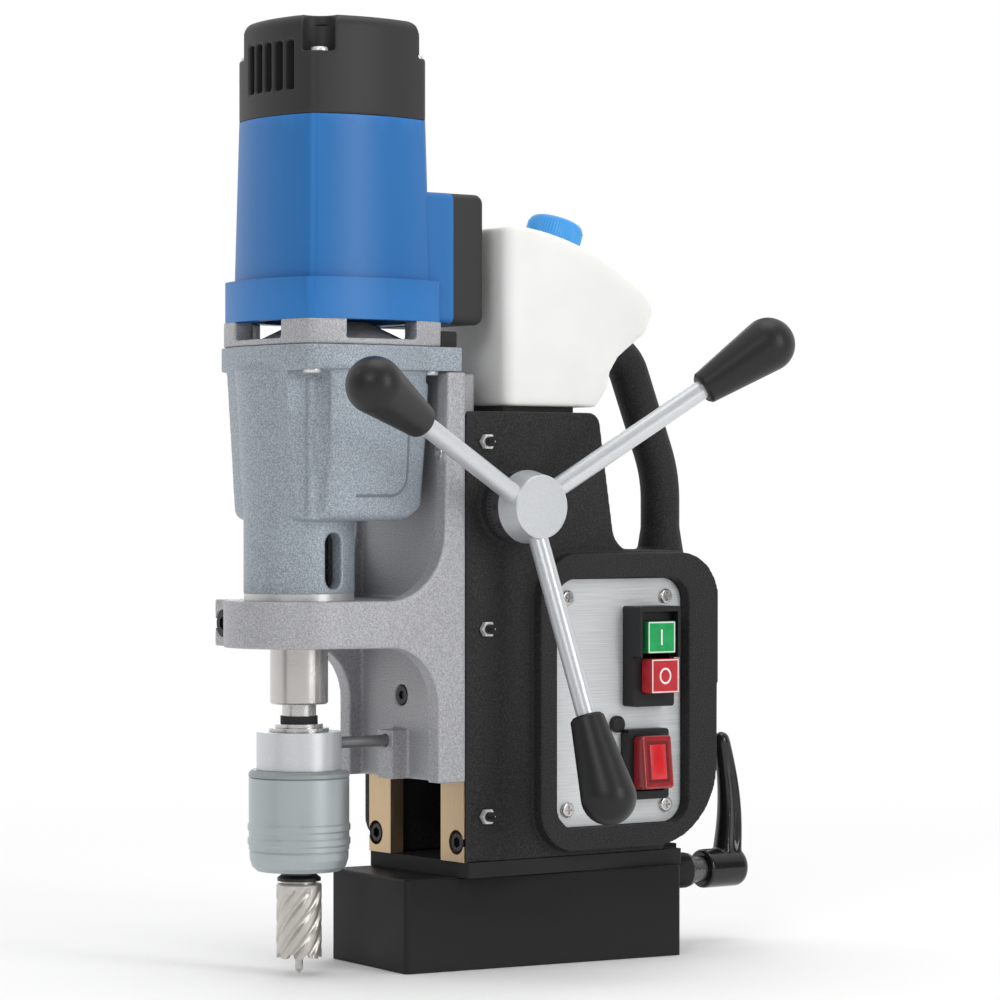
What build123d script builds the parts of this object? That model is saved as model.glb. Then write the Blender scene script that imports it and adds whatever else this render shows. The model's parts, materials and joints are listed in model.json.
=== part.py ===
from build123d import *
import math
import os

# Magnetic drill press, in millimetres.
# Origin: swivel axis on the underside of the magnet foot. +Z up, -Y towards the spindle,
# +X the operator's side with the feed handles and the switches.

# Foot
MAGNET_WIDTH = 80.0
MAGNET_LENGTH = 165.0
MAGNET_HEIGHT = 47.1
MAGNET_CENTRE_Y = 23.9
MAGNET_TURN = -6.0
COIL_SLOT_DEPTH = 30.0
COIL_SLOT_WIDTH = 15.0
COIL_SLOT_MARGIN = 8.0
COIL_SINK = 0.5
PIVOT_RADIUS = 8.0
PIVOT_HEAD_RADIUS = 12.5

# Stand
HALF_WIDTH = 44.6
PLATE_TOP = 55.0
PLATE_FRONT = -31.3
PLATE_REAR = 107.4
HOUSING_FRONT = -32.0
HOUSING_TOP = 283.5
HOUSING_REAR = 52.0
HOUSING_WAIST = 63.0
WALL = 6.0
BOX_TOP = 212.0
BOX_REAR_SIDE = 126.5
BOX_REAR_MIDDLE = 142.0
RIM_FACE = 52.0
RIM_FRONT = 9.0
PANEL_FACE = 45.0
PANEL_THICKNESS = 1.5
PANEL_Y = (19.6, 105.5)
PANEL_Z = (70.0, 197.5)
PANEL_CORNER = 12.0
HANDLE_RADIUS = 10.5
HANDLE_Y = 128.0
GLAND_Z = 150.0
BUTTON_Y = (72.9, 91.0)
ROCKER_X = 49.0
ROCKER_Z = 102.2
ROCKER_AXLE_RADIUS = 1.5

# Slide guide, a T slot closed by two brass strips
SLOT_HALF_WIDTH = 29.0
SLOT_REAR = 14.0
STRIP_HALF_GAP = 22.5
STRIP_OUTER = 42.0
STRIP_FRONT = -33.0
STRIP_BACK = -25.0
TONGUE_REAR = -15.0
GIB_THICKNESS = 1.95
GIB_SCREW_Y = -20.0
GIB_SCREW_Z = (78.0, 173.0, 268.0)
STRIP_SCREW_X = 36.0
STRIP_SCREW_Z = (65.0, 150.0, 250.0)

# Feed
FEED_Y = -6.0
FEED_Z = 235.0
FEED_MODULE = 1.5
FEED_TEETH = 16
FEED_SHAFT_RADIUS = 8.0
RACK_HALF_WIDTH = 8.9
DIAL_RADIUS = 18.6
BOSS_FACE = 50.3
DIAL_X = (50.5, 60.4)
HUB_X = (60.5, 73.0)
HUB_BACK_RADIUS = 18.6
HUB_FACE_RADIUS = 15.9
SPOKE_X = 62.0
SPOKE_TILT = 18.23
SPOKE_START = 12.5
SPOKE_ANGLES = (-84.7, 35.3, 155.3)
SPOKE_RADIUS = 5.0
SPOKE_REACH = (152.6, 151.4, 146.1)
GRIP_LENGTH = 42.3
GRIP_RADIUS = 14.0
GRIP_NECK_RADIUS = 8.7

# Carriage
CARRIAGE_Z = (96.0, 302.8)
CARRIAGE_REAR = -33.1
BACK_WALL_FRONT = -42.0
CHEEK_INSIDE = 35.0
ARM_Z = (164.5, 188.0)
ARM_RADIUS = 38.0

# Spindle
SPINDLE_Y = -104.4
SPINDLE_RADIUS = 14.6
SPINDLE_Z = (136.0, 280.0)
SHANK_RADIUS = 8.5
CHUCK_RADIUS = 25.4
CHUCK_Z = (52.3, 103.0)
COOLANT_RING_RADIUS = 21.4
COOLANT_RING_Z = (103.1, 122.1)
CUTTER_RADIUS = 11.7
CUTTER_Z = (8.5, 47.1)
PILOT_TIP = 0.8

# Gearbox and motor
MOTOR_Y = -84.5
CASING_SHIFT = -3.0
CASING_BOTTOM = 47.8
CASING_TOP = 53.8
SCREW_TURN = 3.0
DRIFT_TURN = 6.0
GEARBOX_Z = (228.0, 303.2)
GEARBOX_FLANGE_TOP = 315.4
NECK_RADIUS = 27.9
NECK_Z = (191.6, 233.0)
COLLAR_Z = (188.0, 191.6)
SPIGOT_RADIUS = 26.0
BEARING_BORE_RADIUS = 20.0
BEARING_PLATE_TOP = 328.0
MOTOR_FLANGE_TOP = 348.6
MOTOR_TOP = 429.5
CAP_SEAT = 460.6
CAP_TOP = 479.2
CAP_SCREW_DISTANCE = 42.5
BOX_HALF_WIDTH = 35.0
BOX_Z = (327.5, 394.0)
BOX_SEAM_Y = -34.0
BOX_BACK_Y = -14.0
GEAR_MODULE = 1.0
ARMATURE_TEETH = 8
CLUSTER_LARGE_TEETH = 32
CLUSTER_SMALL_TEETH = 9
SPINDLE_TEETH = 33
CLUSTER_SHAFT_RADIUS = 3.1
STATOR_RADIUS = 38.0
ARMATURE_RADIUS = 23.3

# Tank
TANK_HALF_WIDTH = 40.0
TANK_BOTTOM = 286.5
TANK_WALL = 3.0
TUNNEL_HALF_WIDTH = 13.0
CAP_TILT = 19.0
CAP_BASE = (0.0, 52.0, 366.5)

# Swivel clamp
CLAMP_X = 11.0
CLAMP_Z = 39.3
CLAMP_STUD_RADIUS = 5.0
LUG_Y = (114.5, 124.0)
LEVER_Y = (147.0, 172.6)

FIT = 0.02
RUNNING = 0.05
TOUCH = 0.1


def block(x, y, z):
    """Box between the low and high value of each pair."""
    size = Box(x[1] - x[0], y[1] - y[0], z[1] - z[0])
    return Pos((x[0] + x[1]) / 2, (y[0] + y[1]) / 2, (z[0] + z[1]) / 2) * size


def soft_block(x, y, z, radius, axis=Axis.Z):
    """Box with its edges along one axis rounded."""
    shape = block(x, y, z)
    return fillet(shape.edges().filter_by(axis), radius)


def rod(start, direction, radius, length):
    """Round bar from a start point along a direction."""
    bar = Cylinder(radius, length, align=(Align.CENTER, Align.CENTER, Align.MIN))
    return Plane(origin=start, z_dir=direction) * bar


def cone(start, direction, first_radius, last_radius, length):
    bar = Cone(first_radius, last_radius, length, align=(Align.CENTER, Align.CENTER, Align.MIN))
    return Plane(origin=start, z_dir=direction) * bar


def ring(start, direction, outer, inner, length):
    return rod(start, direction, outer, length) - rod(start, direction, inner, length)


def upright(centre, radius, z):
    """Vertical round bar at a plan position."""
    return rod((centre[0], centre[1], z[0]), (0, 0, 1), radius, z[1] - z[0])


def upright_ring(centre, outer, inner, z):
    return upright(centre, outer, z) - upright(centre, inner, z)


def side_prism(points, x, radii=0.0):
    """Outline in Y and Z, with its corners rounded, between two X values."""
    wire = FilletPolyline(*[(0, y, z) for y, z in points], radius=radii, close=True)
    face = Face(Wire(wire.edges()))
    return extrude(Pos(x[0], 0, 0) * face, amount=x[1] - x[0], dir=(1, 0, 0))


def bulged_face(corner, bulge, rounding, z):
    """Square with bowed sides and rounded corners about the motor axis."""
    half = corner / math.sqrt(2)
    middle = half + bulge
    sides = []
    for quarter in range(4):
        turn = Rot(0, 0, 90 * quarter)
        sides.append(turn * ThreePointArc((half, -half, 0), (middle, 0, 0), (half, half, 0)))
    face = Face(Wire(sides))
    face = fillet(face.vertices(), rounding)
    return Pos(0, MOTOR_Y, z) * face


def bulged_prism(corner, z, bulge=7.0, rounding=7.0):
    return extrude(bulged_face(corner, bulge, rounding, z[0]), amount=z[1] - z[0])


def bulged_loft(bottom_corner, top_corner, z, bulge=7.0, rounding=7.0):
    low = bulged_face(bottom_corner, bulge, rounding, z[0])
    high = bulged_face(top_corner, bulge, rounding, z[1])
    return loft([low, high])


def corner_point(distance, quarter, turn=0.0):
    angle = math.radians(45 + turn + 90 * quarter)
    return (distance * math.cos(angle), MOTOR_Y + distance * math.sin(angle))


def gear(teeth, module, z, centre, phase):
    """Spur gear with involute flanks and generous backlash; phase is a tooth's angle in degrees."""
    pitch = module * teeth / 2
    base = pitch * math.cos(math.radians(20))
    tip = pitch + 0.8 * module
    root = pitch - 1.25 * module
    involute_at_pitch = math.tan(math.radians(20)) - math.radians(20)
    half_at_pitch = 0.38 * math.pi / teeth
    points = []
    for tooth in range(teeth):
        middle = math.radians(phase) + 2 * math.pi * tooth / teeth
        flank = []
        for step in range(5):
            radius = max(base, root) + (tip - max(base, root)) * step / 4
            pressure = math.acos(min(1.0, base / radius))
            half = half_at_pitch + involute_at_pitch - (math.tan(pressure) - pressure)
            flank.append((radius, half))
        if root < base:
            flank.insert(0, (root, flank[0][1]))
        for radius, half in flank:
            points.append((radius * math.cos(middle - half), radius * math.sin(middle - half)))
        for radius, half in reversed(flank):
            points.append((radius * math.cos(middle + half), radius * math.sin(middle + half)))
    face = Face(Wire(Polyline(*points, close=True).edges()))
    return Pos(centre[0], centre[1], z[0]) * extrude(face, amount=z[1] - z[0])


def cross_screw(point, direction, head_radius, shank_radius, length):
    """Pan-head screw with a cross recess; the point is on the seat of the head."""
    place = Plane(origin=point, z_dir=direction)
    head = Cylinder(head_radius, 2.0, align=(Align.CENTER, Align.CENTER, Align.MIN))
    head = fillet(head.edges().sort_by(Axis.Z)[-1], 1.2)
    shank = Pos(0, 0, -length) * Cylinder(shank_radius, length, align=(Align.CENTER, Align.CENTER, Align.MIN))
    recess = Pos(0, 0, 1.6) * (Box(head_radius * 1.1, 0.8, 1.4) + Box(0.8, head_radius * 1.1, 1.4))
    return place * (head + shank - recess)


def cap_screw(point, direction, head_radius, head_height, shank_radius, length, key):
    """Socket head screw; the point is on the seat of the head."""
    place = Plane(origin=point, z_dir=direction)
    head = Cylinder(head_radius, head_height, align=(Align.CENTER, Align.CENTER, Align.MIN))
    head = chamfer(head.edges().sort_by(Axis.Z)[-1], 0.5)
    shank = Pos(0, 0, -length) * Cylinder(shank_radius, length, align=(Align.CENTER, Align.CENTER, Align.MIN))
    socket = Pos(0, 0, head_height - 2.5) * extrude(RegularPolygon(key / 2, 6, major_radius=False), amount=3)
    return place * (head + shank - socket)


def on_magnet(shape):
    """Place a shape drawn about the magnet's centre, turned about the swivel axis."""
    return Rot(0, 0, MAGNET_TURN) * Pos(0, MAGNET_CENTRE_Y, 0) * shape


def coil_ring(gap, z):
    """Racetrack ring that fits the coil slot with a gap on each side."""
    outer_x = MAGNET_WIDTH / 2 - COIL_SLOT_MARGIN - gap
    outer_y = MAGNET_LENGTH / 2 - COIL_SLOT_MARGIN - gap
    inner_x = MAGNET_WIDTH / 2 - COIL_SLOT_MARGIN - COIL_SLOT_WIDTH + gap
    inner_y = MAGNET_LENGTH / 2 - COIL_SLOT_MARGIN - COIL_SLOT_WIDTH + gap
    outer = soft_block((-outer_x, outer_x), (-outer_y, outer_y), z, 12)
    return outer - soft_block((-inner_x, inner_x), (-inner_y, inner_y), z, 6)


def make_foot(parts):
    half_x = MAGNET_WIDTH / 2
    half_y = MAGNET_LENGTH / 2
    body = soft_block((-half_x, half_x), (-half_y, half_y), (0, MAGNET_HEIGHT), 2.5)
    body = chamfer(body.faces().sort_by(Axis.Z)[-1].edges(), 0.8)
    body -= coil_ring(0, (0, COIL_SLOT_DEPTH))
    body -= upright((0, -MAGNET_CENTRE_Y), PIVOT_RADIUS + FIT, (31, MAGNET_HEIGHT))
    parts["magnet_body"] = on_magnet(body)
    parts["potted_coil"] = on_magnet(coil_ring(FIT, (COIL_SINK, COIL_SLOT_DEPTH - FIT)))
    pin = upright((0, 0), PIVOT_RADIUS, (31.5, PLATE_TOP + RUNNING))
    pin += upright((0, 0), PIVOT_HEAD_RADIUS, (PLATE_TOP + RUNNING, PLATE_TOP + 5))
    pin -= extrude(Pos(0, 0, PLATE_TOP + 2) * RegularPolygon(4, 6, major_radius=False), amount=5)
    parts["pivot_pin"] = pin


def make_swivel(parts):
    plate_bottom = MAGNET_HEIGHT + RUNNING
    plate = soft_block((-HALF_WIDTH, HALF_WIDTH), (PLATE_FRONT, PLATE_REAR), (plate_bottom, PLATE_TOP), 2)
    plate -= upright((0, 0), PIVOT_RADIUS + RUNNING, (plate_bottom, PLATE_TOP))
    lug_x = (CLAMP_X - 17, CLAMP_X + 8)
    plate += block(lug_x, (PLATE_REAR - 5, LUG_Y[1]), (plate_bottom, PLATE_TOP))
    plate += block(lug_x, LUG_Y, (24, PLATE_TOP))
    plate += rod((CLAMP_X, LUG_Y[1] - 1, CLAMP_Z), (0, 1, 0), 9.5, 12.5)
    plate -= rod((CLAMP_X, LUG_Y[0] - 1, CLAMP_Z), (0, 1, 0), CLAMP_STUD_RADIUS + RUNNING, 30)
    parts["swivel_plate"] = plate
    stud = rod((CLAMP_X, LUG_Y[0] + 0.5, CLAMP_Z), (0, 1, 0), CLAMP_STUD_RADIUS, 48)
    stud += rod((CLAMP_X, 135.6, CLAMP_Z), (0, 1, 0), 9.0, 2.2)
    stud += rod((CLAMP_X, 139.2, CLAMP_Z), (0, 1, 0), 7.0, 7.6)
    parts["clamp_stud"] = stud
    hub = rod((CLAMP_X, LEVER_Y[0], CLAMP_Z), (0, 1, 0), 10.5, LEVER_Y[1] - LEVER_Y[0])
    hub = fillet(hub.edges().sort_by(Axis.Y)[-1], 3)
    root = Plane(origin=(CLAMP_X, 164.7, CLAMP_Z), z_dir=(0, 0, 1)) * Ellipse(8.6, 8.8)
    waist = Plane(origin=(CLAMP_X, 166.3, CLAMP_Z + 38), z_dir=(0, -0.03, 1)) * Ellipse(6.0, 6.5)
    tip = Plane(origin=(CLAMP_X, 162, CLAMP_Z + 69.6), z_dir=(0, -0.14, 1)) * Ellipse(4.5, 4.5)
    arm = loft([root, waist, tip])
    arm += Pos(CLAMP_X, 162, CLAMP_Z + 69.1) * Sphere(4.4)
    lever = hub + arm
    lever -= rod((CLAMP_X, LEVER_Y[0] - 1, CLAMP_Z), (0, 1, 0), CLAMP_STUD_RADIUS + FIT, 17.5)
    parts["clamp_lever"] = lever


def make_housing(parts):
    tower_outline = [(HOUSING_FRONT, PLATE_TOP + FIT), (HOUSING_FRONT, HOUSING_TOP),
                     (HOUSING_REAR, HOUSING_TOP), (HOUSING_WAIST, BOX_TOP), (95, BOX_TOP),
                     (95, PLATE_TOP + FIT)]
    tower = side_prism(tower_outline, (-HALF_WIDTH, HALF_WIDTH), [0, 2, 7, 13, 0, 0])
    facet = Polyline((HALF_WIDTH - 1.4, HOUSING_FRONT - 1), (HALF_WIDTH, -7), (HALF_WIDTH + 2, -7),
                     (HALF_WIDTH + 2, HOUSING_FRONT - 1), close=True)
    trim = Pos(0, 0, 40) * extrude(Face(Wire(facet.edges())), amount=260, dir=(0, 0, 1))
    tower -= trim
    tower -= mirror(trim, Plane.YZ)

    def box_outline(x, rear):
        points = [(60, PLATE_TOP + FIT), (60, BOX_TOP), (rear, BOX_TOP), (rear - 2, PLATE_TOP + FIT)]
        wire = FilletPolyline(*[(x, y, z) for y, z in points], radius=[0, 0, 25, 44], close=True)
        return Face(Wire(wire.edges()))

    middle = extrude(box_outline(-12, BOX_REAR_MIDDLE), amount=24, dir=(1, 0, 0))
    flank = loft([box_outline(12, BOX_REAR_MIDDLE), box_outline(HALF_WIDTH, BOX_REAR_SIDE)])
    body = tower + middle + flank + mirror(flank, Plane.YZ)

    rim_outline = [(RIM_FRONT, 58), (RIM_FRONT, BOX_TOP - 1), (BOX_REAR_SIDE, BOX_TOP - 1),
                   (BOX_REAR_SIDE - 2, 58)]
    rim = side_prism(rim_outline, (HALF_WIDTH - 1, RIM_FACE), [22, 25, 25, 42])
    body += rim
    body += soft_block((-HALF_WIDTH - 5, -HALF_WIDTH + 1), (-31, 60), (59, 262), 14, Axis.X)

    path = FilletPolyline((0, HANDLE_Y, 195), (0, HANDLE_Y, 252), (0, 101.5, 319), (0, 30, 319), (0, 30, 276),
                          radius=[70, 20, 16])
    start = Plane(origin=(0, HANDLE_Y, 195), z_dir=(0, 0, 1))
    body += sweep(start * Circle(HANDLE_RADIUS), path=Wire(path.edges()))
    body += cone((0, HANDLE_Y, 205), (0, 0, 1), HANDLE_RADIUS + 3, HANDLE_RADIUS - 0.5, 22)

    body -= block((-SLOT_HALF_WIDTH, SLOT_HALF_WIDTH), (STRIP_BACK, SLOT_REAR), (50, 300))
    body -= block((-STRIP_OUTER - FIT, STRIP_OUTER + FIT), (-40, STRIP_BACK), (50, 300))
    inner_side = HALF_WIDTH - WALL
    body -= block((-inner_side, inner_side), (20, 46), (63, 276))
    body -= block((-inner_side, inner_side), (20, 118), (63, 203))

    opening = soft_block((PANEL_FACE - PANEL_THICKNESS, RIM_FACE + 1), (PANEL_Y[0] - 0.3, PANEL_Y[1] + 0.3),
                         (PANEL_Z[0] - 0.3, PANEL_Z[1] + 0.3), PANEL_CORNER, Axis.X)
    body -= opening
    body -= block((30, PANEL_FACE), (PANEL_Y[0] + 6, PANEL_Y[1] - 6), (PANEL_Z[0] + 14, PANEL_Z[1] - 14))
    body += rod((43, FEED_Y, FEED_Z), (1, 0, 0), DIAL_RADIUS - 1, BOSS_FACE - 43)
    body -= rod((-45, FEED_Y, FEED_Z), (1, 0, 0), 11.0, 105)
    for z in GIB_SCREW_Z:
        body -= rod((20, GIB_SCREW_Y, z), (1, 0, 0), 2.5 + FIT, 40)
        body -= rod((43.9, GIB_SCREW_Y, z), (1, 0, 0), 5.2, 10)
    for side in (-1, 1):
        for z in STRIP_SCREW_Z:
            body -= rod((side * STRIP_SCREW_X, STRIP_BACK, z), (0, 1, 0), 3.0 + FIT, 16)
    for y, z in panel_screw_places():
        body -= rod((32, y, z), (1, 0, 0), 1.6 + FIT, 20)
    body -= rod((0, 112, GLAND_Z), (0, 1, 0), 8.0 + FIT, 40)
    parts["column_housing"] = body


def panel_screw_places():
    return [(y, z) for y in (30.5, 95.0) for z in (79.0, 188.0)]


def make_guide(parts):
    for name, side in (("gib_strip_left", -1), ("gib_strip_right", 1)):
        edges = sorted((side * STRIP_HALF_GAP, side * STRIP_OUTER))
        strip = block(edges, (STRIP_FRONT, STRIP_BACK), (PLATE_TOP + TOUCH, HOUSING_TOP - 0.5))
        for z in STRIP_SCREW_Z:
            strip -= rod((side * STRIP_SCREW_X, STRIP_FRONT - 1, z), (0, 1, 0), 6.3, 7)
            strip -= rod((side * STRIP_SCREW_X, STRIP_FRONT - 1, z), (0, 1, 0), 3.2, 12)
        parts[name] = strip
    screws = []
    for side in (-1, 1):
        for z in STRIP_SCREW_Z:
            seat = (side * STRIP_SCREW_X, STRIP_FRONT + 6, z)
            screws.append(cap_screw(seat, (0, -1, 0), 5.0, 5.7, 3.0, 17, 5.0))
    parts["strip_screws"] = Compound(children=screws)
    right = SLOT_HALF_WIDTH - FIT
    parts["adjusting_gib"] = block((right - GIB_THICKNESS, right), (STRIP_BACK + 0.2, TONGUE_REAR - 0.2),
                                   (PLATE_TOP + 1, HOUSING_TOP - 1))
    set_screws = []
    nuts = []
    for z in GIB_SCREW_Z:
        screw = rod((SLOT_HALF_WIDTH + FIT, GIB_SCREW_Y, z), (1, 0, 0), 2.5, 20.5)
        screw -= block((48.2, 50), (GIB_SCREW_Y - 3, GIB_SCREW_Y + 3), (z - 0.5, z + 0.5))
        set_screws.append(screw)
        hexagon = RegularPolygon(3.6, 6, major_radius=False, rotation=30)
        hexagon = extrude(Plane(origin=(43.95, GIB_SCREW_Y, z), z_dir=(1, 0, 0)) * hexagon, amount=2.6)
        nuts.append(hexagon - rod((43, GIB_SCREW_Y, z), (1, 0, 0), 2.5 + FIT, 6))
    parts["gib_set_screws"] = Compound(children=set_screws)
    parts["gib_lock_nuts"] = Compound(children=nuts)


def make_tank(parts):
    parts["top_pad"] = soft_block((-36, 36), (-3, 43), (HOUSING_TOP + FIT, TANK_BOTTOM - FIT), 3) \
        - block((-TUNNEL_HALF_WIDTH, TUNNEL_HALF_WIDTH), (14, 50), (280, 290))

    def tank_prism(inset, x):
        with BuildLine() as outline:
            Polyline((92, 337.5), (87, 326), (69, 313), (63.5, 305), (62, 297), (54, TANK_BOTTOM),
                     (-4, TANK_BOTTOM), (-4, 378), (8, 378.5))
            ThreePointArc((8, 378.5), (48, 368.5), (89, 344.5))
            Line((89, 344.5), (92, 337.5))
        face = Face(Wire(outline.edges()))
        if inset:
            face = offset(face, -inset)
        face = Plane(origin=(x[0], 0, 0), x_dir=(0, 1, 0), z_dir=(1, 0, 0)) * face
        return extrude(face, amount=x[1] - x[0], dir=(1, 0, 0))

    outer = tank_prism(0, (-TANK_HALF_WIDTH, TANK_HALF_WIDTH))
    front_edges = outer.edges().filter_by(Axis.Z)
    outer = fillet(front_edges, 7)
    tunnel = block((-TUNNEL_HALF_WIDTH, TUNNEL_HALF_WIDTH), (16, 130), (270, 332))
    inner_half = TANK_HALF_WIDTH - TANK_WALL
    hollow = tank_prism(TANK_WALL, (-inner_half, inner_half))
    hollow -= block((-TUNNEL_HALF_WIDTH - TANK_WALL, TUNNEL_HALF_WIDTH + TANK_WALL), (13, 140), (270, 335))
    tilt = math.radians(CAP_TILT)
    axis = (0, math.sin(tilt), math.cos(tilt))
    tank = outer + rod(CAP_BASE, axis, 12.5, 11)
    tank -= hollow
    tank -= tunnel
    below = tuple(point - 8 * part for point, part in zip(CAP_BASE, axis))
    tank -= rod(below, axis, 10.0, 30)
    parts["coolant_tank"] = tank
    foot = tuple(point + 4.5 * part for point, part in zip(CAP_BASE, axis))
    cap = rod(foot, axis, 15.0, 15)
    cap = fillet(cap.edges().sort_by(Axis.Z)[-1], 2.5)
    cap -= rod(CAP_BASE, axis, 12.5 + RUNNING, 11 + TOUCH)
    cap -= outer
    parts["tank_cap"] = cap


def make_controls(parts):
    panel_x = (PANEL_FACE - PANEL_THICKNESS + FIT, PANEL_FACE)
    panel = soft_block(panel_x, PANEL_Y, PANEL_Z, PANEL_CORNER, Axis.X)
    panel -= block((40, 50), (69, 93.2), (134, 180))
    panel -= block((40, 50), (68.5, 90), (86, 116.2))
    panel -= rod((40, 62.6, 122), (1, 0, 0), 3.5 + FIT, 10)
    for y, z in panel_screw_places():
        panel -= rod((40, y, z), (1, 0, 0), 1.7, 10)
    parts["control_panel"] = panel
    parts["panel_screws"] = Compound(children=[
        cross_screw((PANEL_FACE + FIT, y, z), (1, 0, 0), 4.0, 1.6, 9) for y, z in panel_screw_places()])

    switch = soft_block((PANEL_FACE + FIT, 54), (67.1, 94.1), (131, 183.3), 1.5, Axis.X)
    switch += block((18, PANEL_FACE + 1), (69.2, 93), (134.2, 179.8))
    hood = soft_block((53, 59.6), (67.1, 94.1), (156.5, 183.3), 1.5, Axis.X)
    hood -= block((54, 61), (68.9, 92.3), (150, 180.5))
    slope = Polyline((61, 156), (52.4, 156), (61, 168.8), close=True)
    slope = Plane(origin=(0, 60, 0), x_dir=(1, 0, 0), z_dir=(0, -1, 0)) * Face(Wire(slope.edges()))
    switch += hood - extrude(slope, amount=-40)
    switch -= block((30, 55), (BUTTON_Y[0] - 0.2, BUTTON_Y[1] + 0.2), (137.8, 175.6))
    parts["motor_switch_body"] = switch
    parts["start_button"] = soft_block((33, 59), BUTTON_Y, (158.8, 175.4), 1.0, Axis.X)
    parts["stop_button"] = soft_block((33, 62), BUTTON_Y, (138.2, 156), 1.0, Axis.X)
    parts["indicator_lens"] = rod((38, 62.6, 122), (1, 0, 0), 3.5, 8) \
        + fillet(rod((PANEL_FACE + FIT, 62.6, 122), (1, 0, 0), 4.4, 3.2).edges().sort_by(Axis.X)[-1], 1.5)

    bezel = soft_block((PANEL_FACE + FIT, 51.5), (65.7, 92.6), (82.7, 119.3), 2, Axis.X)
    bezel += block((20, PANEL_FACE + 1), (68.7, 89.8), (86.2, 116))
    bezel -= block((32, 60), (69.2, 89.4), (86.9, 115.7))
    bezel -= rod((ROCKER_X, 67.0, ROCKER_Z), (0, 1, 0), ROCKER_AXLE_RADIUS + RUNNING, 24.2)
    parts["magnet_switch_body"] = bezel
    rocker = soft_block((46.5, 59.5), (69.5, 89.1), (87.5, 115.2), 2, Axis.X)
    rocker = fillet(rocker.faces().sort_by(Axis.X)[-1].edges(), 1.2)
    rocker = Plane(origin=(ROCKER_X, 0, ROCKER_Z)) * (Rot(0, -6, 0) * (Pos(-ROCKER_X, 0, -ROCKER_Z) * rocker))
    parts["magnet_rocker"] = rocker + rod((ROCKER_X, 67.3, ROCKER_Z), (0, 1, 0), ROCKER_AXLE_RADIUS, 23.7)
    parts["circuit_board"] = block((12, 13.6), (26, 112), (70, 196))
    gland = rod((0, 114, GLAND_Z), (0, 1, 0), 8.0, 30)
    hexagon = Plane(origin=(0, BOX_REAR_MIDDLE + TOUCH, GLAND_Z), z_dir=(0, 1, 0)) * RegularPolygon(11, 6)
    gland += extrude(hexagon, amount=6)
    gland += fillet(rod((0, BOX_REAR_MIDDLE + 6, GLAND_Z), (0, 1, 0), 9.5, 10).edges().sort_by(Axis.Y)[-1], 3)
    parts["cable_gland"] = gland - rod((0, 110, GLAND_Z), (0, 1, 0), 4.5, 60)


def rack_profile(length):
    """Toothed outline in Y and Z; teeth point to +Y about the pitch line of the feed pinion."""
    step = math.pi * FEED_MODULE
    pitch_line = FEED_Y - FEED_MODULE * FEED_TEETH / 2
    slope = math.tan(math.radians(20))
    half = 0.21 * step
    count = int(length / step)
    start = CARRIAGE_Z[0] + 2
    phase = (FEED_Z - start) % step
    points = [(-24.9, start)]
    points.append((pitch_line - 1.2 * FEED_MODULE, start))
    for tooth in range(count - 1):
        middle = start + phase + step * (tooth + 0.5)
        root = 1.2 * FEED_MODULE
        tip = 0.85 * FEED_MODULE
        points.append((pitch_line - root, middle - half - root * slope))
        points.append((pitch_line + tip, middle - half + tip * slope))
        points.append((pitch_line + tip, middle + half - tip * slope))
        points.append((pitch_line - root, middle + half + root * slope))
    points.append((pitch_line - 1.2 * FEED_MODULE, start + length))
    points.append((-24.9, start + length))
    return points


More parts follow.
